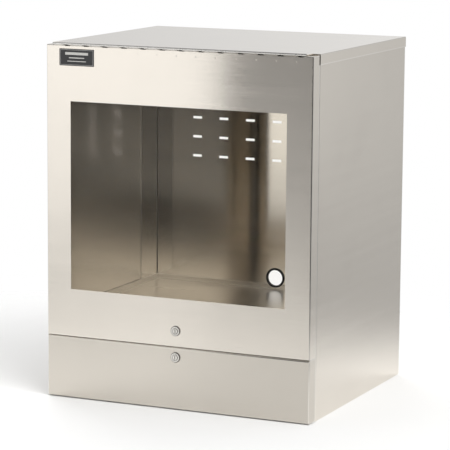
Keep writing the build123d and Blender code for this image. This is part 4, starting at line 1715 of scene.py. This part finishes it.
@dataclass
class Studio:
    """A pale floor, soft light all round that is stronger on the left, and the camera.

    Attributes:
        floor_radius: Radius of the floor.
        floor_fade: Radius where the floor starts to fade into the backdrop.
        floor_centre: Its centre.
        eye: Place of the camera.
        turn: Its turn to the left, tip downwards and roll, in degrees.
        lens: Focal length in millimetres on a 36 millimetre sensor.
        high_band: Light of the room at eye level and above, by turn from the front to the left in
            degrees.
        level_band: Light of the room just below eye level, in the same way.
        low_band: Light of the room near the ground, in the same way.
        brightest: Level that the room's light is measured against.
        panels: The soft light panels.
        card_edge: Where the bright card's near edge stands, along x and y.
        card_end: Where its far edge stands.
        card_height: Its height.
        card_level: Its brightness.
        drop: How far the floor lies below the base.
    """

    floor_radius: float = 1.9
    floor_fade: float = 0.75
    floor_centre: tuple[float, float] = (-0.25, -0.35)
    eye: Triple = (2.4077, -5.3446, 1.3610)
    turn: Triple = (24.336, 9.224, 0.450)
    lens: float = 189.55
    high_band: tuple[tuple[float, float], ...] = (
        (-180.0, 0.60),
        (-160.5, 0.44),
        (-157.0, 0.70),
        (-110.0, 0.70),
        (-70.0, 1.2),
        (-8.0, 1.2),
        (4.0, 0.15),
        (50.0, 0.15),
        (120.0, 0.90),
        (150.0, 0.70),
        (161.0, 0.86),
        (180.0, 0.60),
    )
    level_band: tuple[tuple[float, float], ...] = (
        (-180.0, 0.72),
        (-160.5, 0.58),
        (-157.0, 0.78),
        (-110.0, 0.55),
        (-60.0, 0.01),
        (-8.0, 0.01),
        (6.0, 0.17),
        (50.0, 0.17),
        (75.0, 0.75),
        (180.0, 0.72),
    )
    low_band: tuple[tuple[float, float], ...] = (
        (-180.0, 0.60),
        (-150.0, 0.42),
        (-110.0, 0.50),
        (-70.0, 0.03),
        (-12.0, 0.03),
        (6.0, 0.10),
        (20.0, 0.13),
        (22.5, 0.80),
        (75.0, 0.85),
        (180.0, 0.60),
    )
    brightest: float = 1.2
    panels: tuple[Panel, ...] = (
        Panel("key_panel", (2.2, -1.6, 3.0), (0.3, -0.3, 0.0), (2.4, 2.4), 85.0),
        Panel("fill_panel", (-1.8, 1.9, 3.0), (0.0, 0.5, 0.0), (2.4, 2.4), 48.0),
    )
    card_edge: tuple[float, float] = (-1.33, -3.49)
    card_end: tuple[float, float] = (-4.20, -1.90)
    card_height: float = 2.8
    card_level: float = 1.27
    drop: float = 0.0004

    @staticmethod
    def staged(
        name: str, points: np.ndarray, quads: np.ndarray, material: bpy.types.Material
    ) -> bpy.types.Object:
        """Make a piece of the studio.

        Args:
            name: Its name.
            points: Its points, with x, y and z last.
            quads: Its quads.
            material: Its finish.

        Returns:
            The piece.
        """
        mesh = bpy.data.meshes.new(name)
        mesh.from_pydata(points.reshape(-1, 3).tolist(), [], quads.tolist())
        mesh.materials.append(material)
        made = bpy.data.objects.new(name, mesh)
        bpy.context.scene.collection.objects.link(made)
        return made

    def floor(self) -> None:
        """Lay the floor: a disc whose point at (r, a) is (r cos a, r sin a) just under the base."""
        radius = np.concatenate([[0.0], np.geomspace(0.05, self.floor_radius, 40)])[:, None]
        angle = np.linspace(0.0, 2 * np.pi, 96, endpoint=False)[None, :]
        x = self.floor_centre[0] + radius * np.cos(angle)
        y = self.floor_centre[1] + radius * np.sin(angle)
        points = np.stack([x, y, np.full(x.shape, -self.drop)], -1)
        graph = Graph.for_material("pale_floor")
        along, across, _ = graph.axes()
        along, across = along - self.floor_centre[0], across - self.floor_centre[1]
        reach = (along * along + across * across) ** 0.5
        cloud = graph.noise(1.3, 3.0)
        paint = graph.surface(
            {
                "Base Color": graph.blend(cloud, (0.90, 0.90, 0.895), (0.87, 0.87, 0.865)),
                "Roughness": 0.7,
                "Specular IOR Level": 0.1,
                "Alpha": reach.rise(self.floor_radius - 0.1, self.floor_fade),
            }
        )
        self.staged("studio_floor", points, grid_quads(radius.size, angle.size, False, True), paint)

    def card(self) -> None:
        """Stand the bright upright card at the front left, seen only in reflections.

        Its point at (s, t) is the edge plus s times the way to its end, at height t.
        """
        rows, columns = 7, 9
        along = np.linspace(0.0, 1.0, columns)[None, :, None]
        start, end = np.array(self.card_edge), np.array(self.card_end)
        ground = np.broadcast_to(start + (end - start) * along, (rows, columns, 2))
        height = np.linspace(0.002, self.card_height, rows)[:, None, None]
        points = np.concatenate([ground, np.broadcast_to(height, (rows, columns, 1))], -1)
        graph = Graph.for_material("bright_card")
        glow = graph.node(
            "ShaderNodeEmission", inputs={"Color": (1.0, 1.0, 1.0, 1.0), "Strength": self.card_level}
        )
        quads = grid_quads(rows, columns, False, False)
        made = self.staged("studio_card", points, quads, graph.output(glow.outputs[0]))
        made.visible_camera = False
        made.visible_shadow = False

    def _band(
        self, graph: Graph, share: Signal, band: Sequence[tuple[float, float]]
    ) -> bpy.types.NodeSocket:
        """A ramp of grey levels by direction.

        Args:
            graph: The world's graph.
            share: Direction as a share of a whole turn.
            band: Directions in degrees and levels.

        Returns:
            The ramp's colour.
        """
        stops = [
            (0.5 + degrees / 360.0, (level / self.brightest,) * 3) for degrees, level in band
        ]
        return graph.node("ShaderNodeValToRGB", {"stops": stops}, {0: share}).outputs[0]

    def room(self) -> None:
        """Light the room by direction, and show plain white where the camera sees past the floor."""
        world = bpy.data.worlds.new("studio_room")
        bpy.context.scene.world = world
        graph = Graph(world)
        direction = graph.node("ShaderNodeTexCoord").outputs["Generated"]
        x, y, z = graph.axes(direction)
        share = (x * -1.0).angle_from(y * -1.0) / (2 * math.pi) + 0.5
        bands = (self.high_band, self.level_band, self.low_band)
        high, level, low = (self._band(graph, share, band) for band in bands)
        mixed = high
        for step, lower in ((z.rise(0.09, -0.02), level), (z.rise(-0.134, -0.146), low)):
            inputs = {0: step, 6: mixed, 7: lower}
            mixed = graph.node("ShaderNodeMix", {"data_type": "RGBA"}, inputs).outputs[2]
        seen = graph.node("ShaderNodeLightPath").outputs["Is Camera Ray"]
        lit, plain = (
            graph.node("ShaderNodeBackground", inputs={"Color": colour, "Strength": strength}).outputs[0]
            for colour, strength in ((mixed, self.brightest), ((1.0, 1.0, 1.0, 1.0), 1.0))
        )
        both = graph.node("ShaderNodeMixShader", inputs={0: seen, 1: lit, 2: plain})
        graph.node("ShaderNodeOutputWorld", inputs={"Surface": both.outputs[0]})

    def lights(self) -> None:
        """Hang the soft panels, which light the object and don't show in its reflections."""
        for panel in self.panels:
            light = bpy.data.lights.new(panel.name, "AREA")
            light.shape = "RECTANGLE"
            light.size, light.size_y = panel.size
            light.energy = panel.power
            made = bpy.data.objects.new(panel.name, light)
            made.location = panel.place
            aim = Vector(panel.aim) - Vector(panel.place)
            made.rotation_mode = "QUATERNION"
            made.rotation_quaternion = aim.to_track_quat("-Z", "Y")
            made.visible_glossy = False
            bpy.context.scene.collection.objects.link(made)

    def camera(self) -> None:
        """Stand the camera at its place, with the turn, tip and roll of its field."""
        turn, tip, roll = (math.radians(angle) for angle in self.turn)
        forward = math.cos(tip)
        ahead = Vector((-math.sin(turn) * forward, math.cos(turn) * forward, -math.sin(tip)))
        level = Vector((math.cos(turn), math.sin(turn), 0.0))
        upright = level.cross(ahead)
        right = level * math.cos(roll) + upright * math.sin(roll)
        up = upright * math.cos(roll) - level * math.sin(roll)
        data = bpy.data.cameras.new("studio_camera")
        data.sensor_width = 36.0
        data.lens = self.lens
        data.clip_end = 60.0
        made = bpy.data.objects.new("studio_camera", data)
        matrix = Matrix((right, up, -ahead)).transposed().to_4x4()
        matrix.translation = Vector(self.eye)
        made.matrix_world = matrix
        bpy.context.scene.collection.objects.link(made)
        bpy.context.scene.camera = made

    def build(self) -> None:
        """Build the whole studio."""
        self.floor()
        self.card()
        self.room()
        self.lights()
        self.camera()
        bpy.context.scene.view_settings.view_transform = "Standard"
        LOG.info("studio: floor, room, %d panels and camera", len(self.panels))


def main() -> None:
    """Build every sub-assembly in order, then the studio."""
    logging.basicConfig(level=logging.INFO, format="%(name)s: %(message)s")
    finishes = Finishes()
    SteelBody().build(finishes)
    ContinuousHinge().build(finishes)
    CableGrommet().build(finishes)
    FlipDoor().build(finishes)
    LockingDrawer().build(finishes)
    CamLock("door_lock", "door").build(finishes)
    CamLock("drawer_lock", "drawer").build(finishes)
    BallSlides().build(finishes)
    SlideScrews().build(finishes)
    LampFixture().build(finishes)
    Studio().build()


if __name__ == "__main__":
    main()
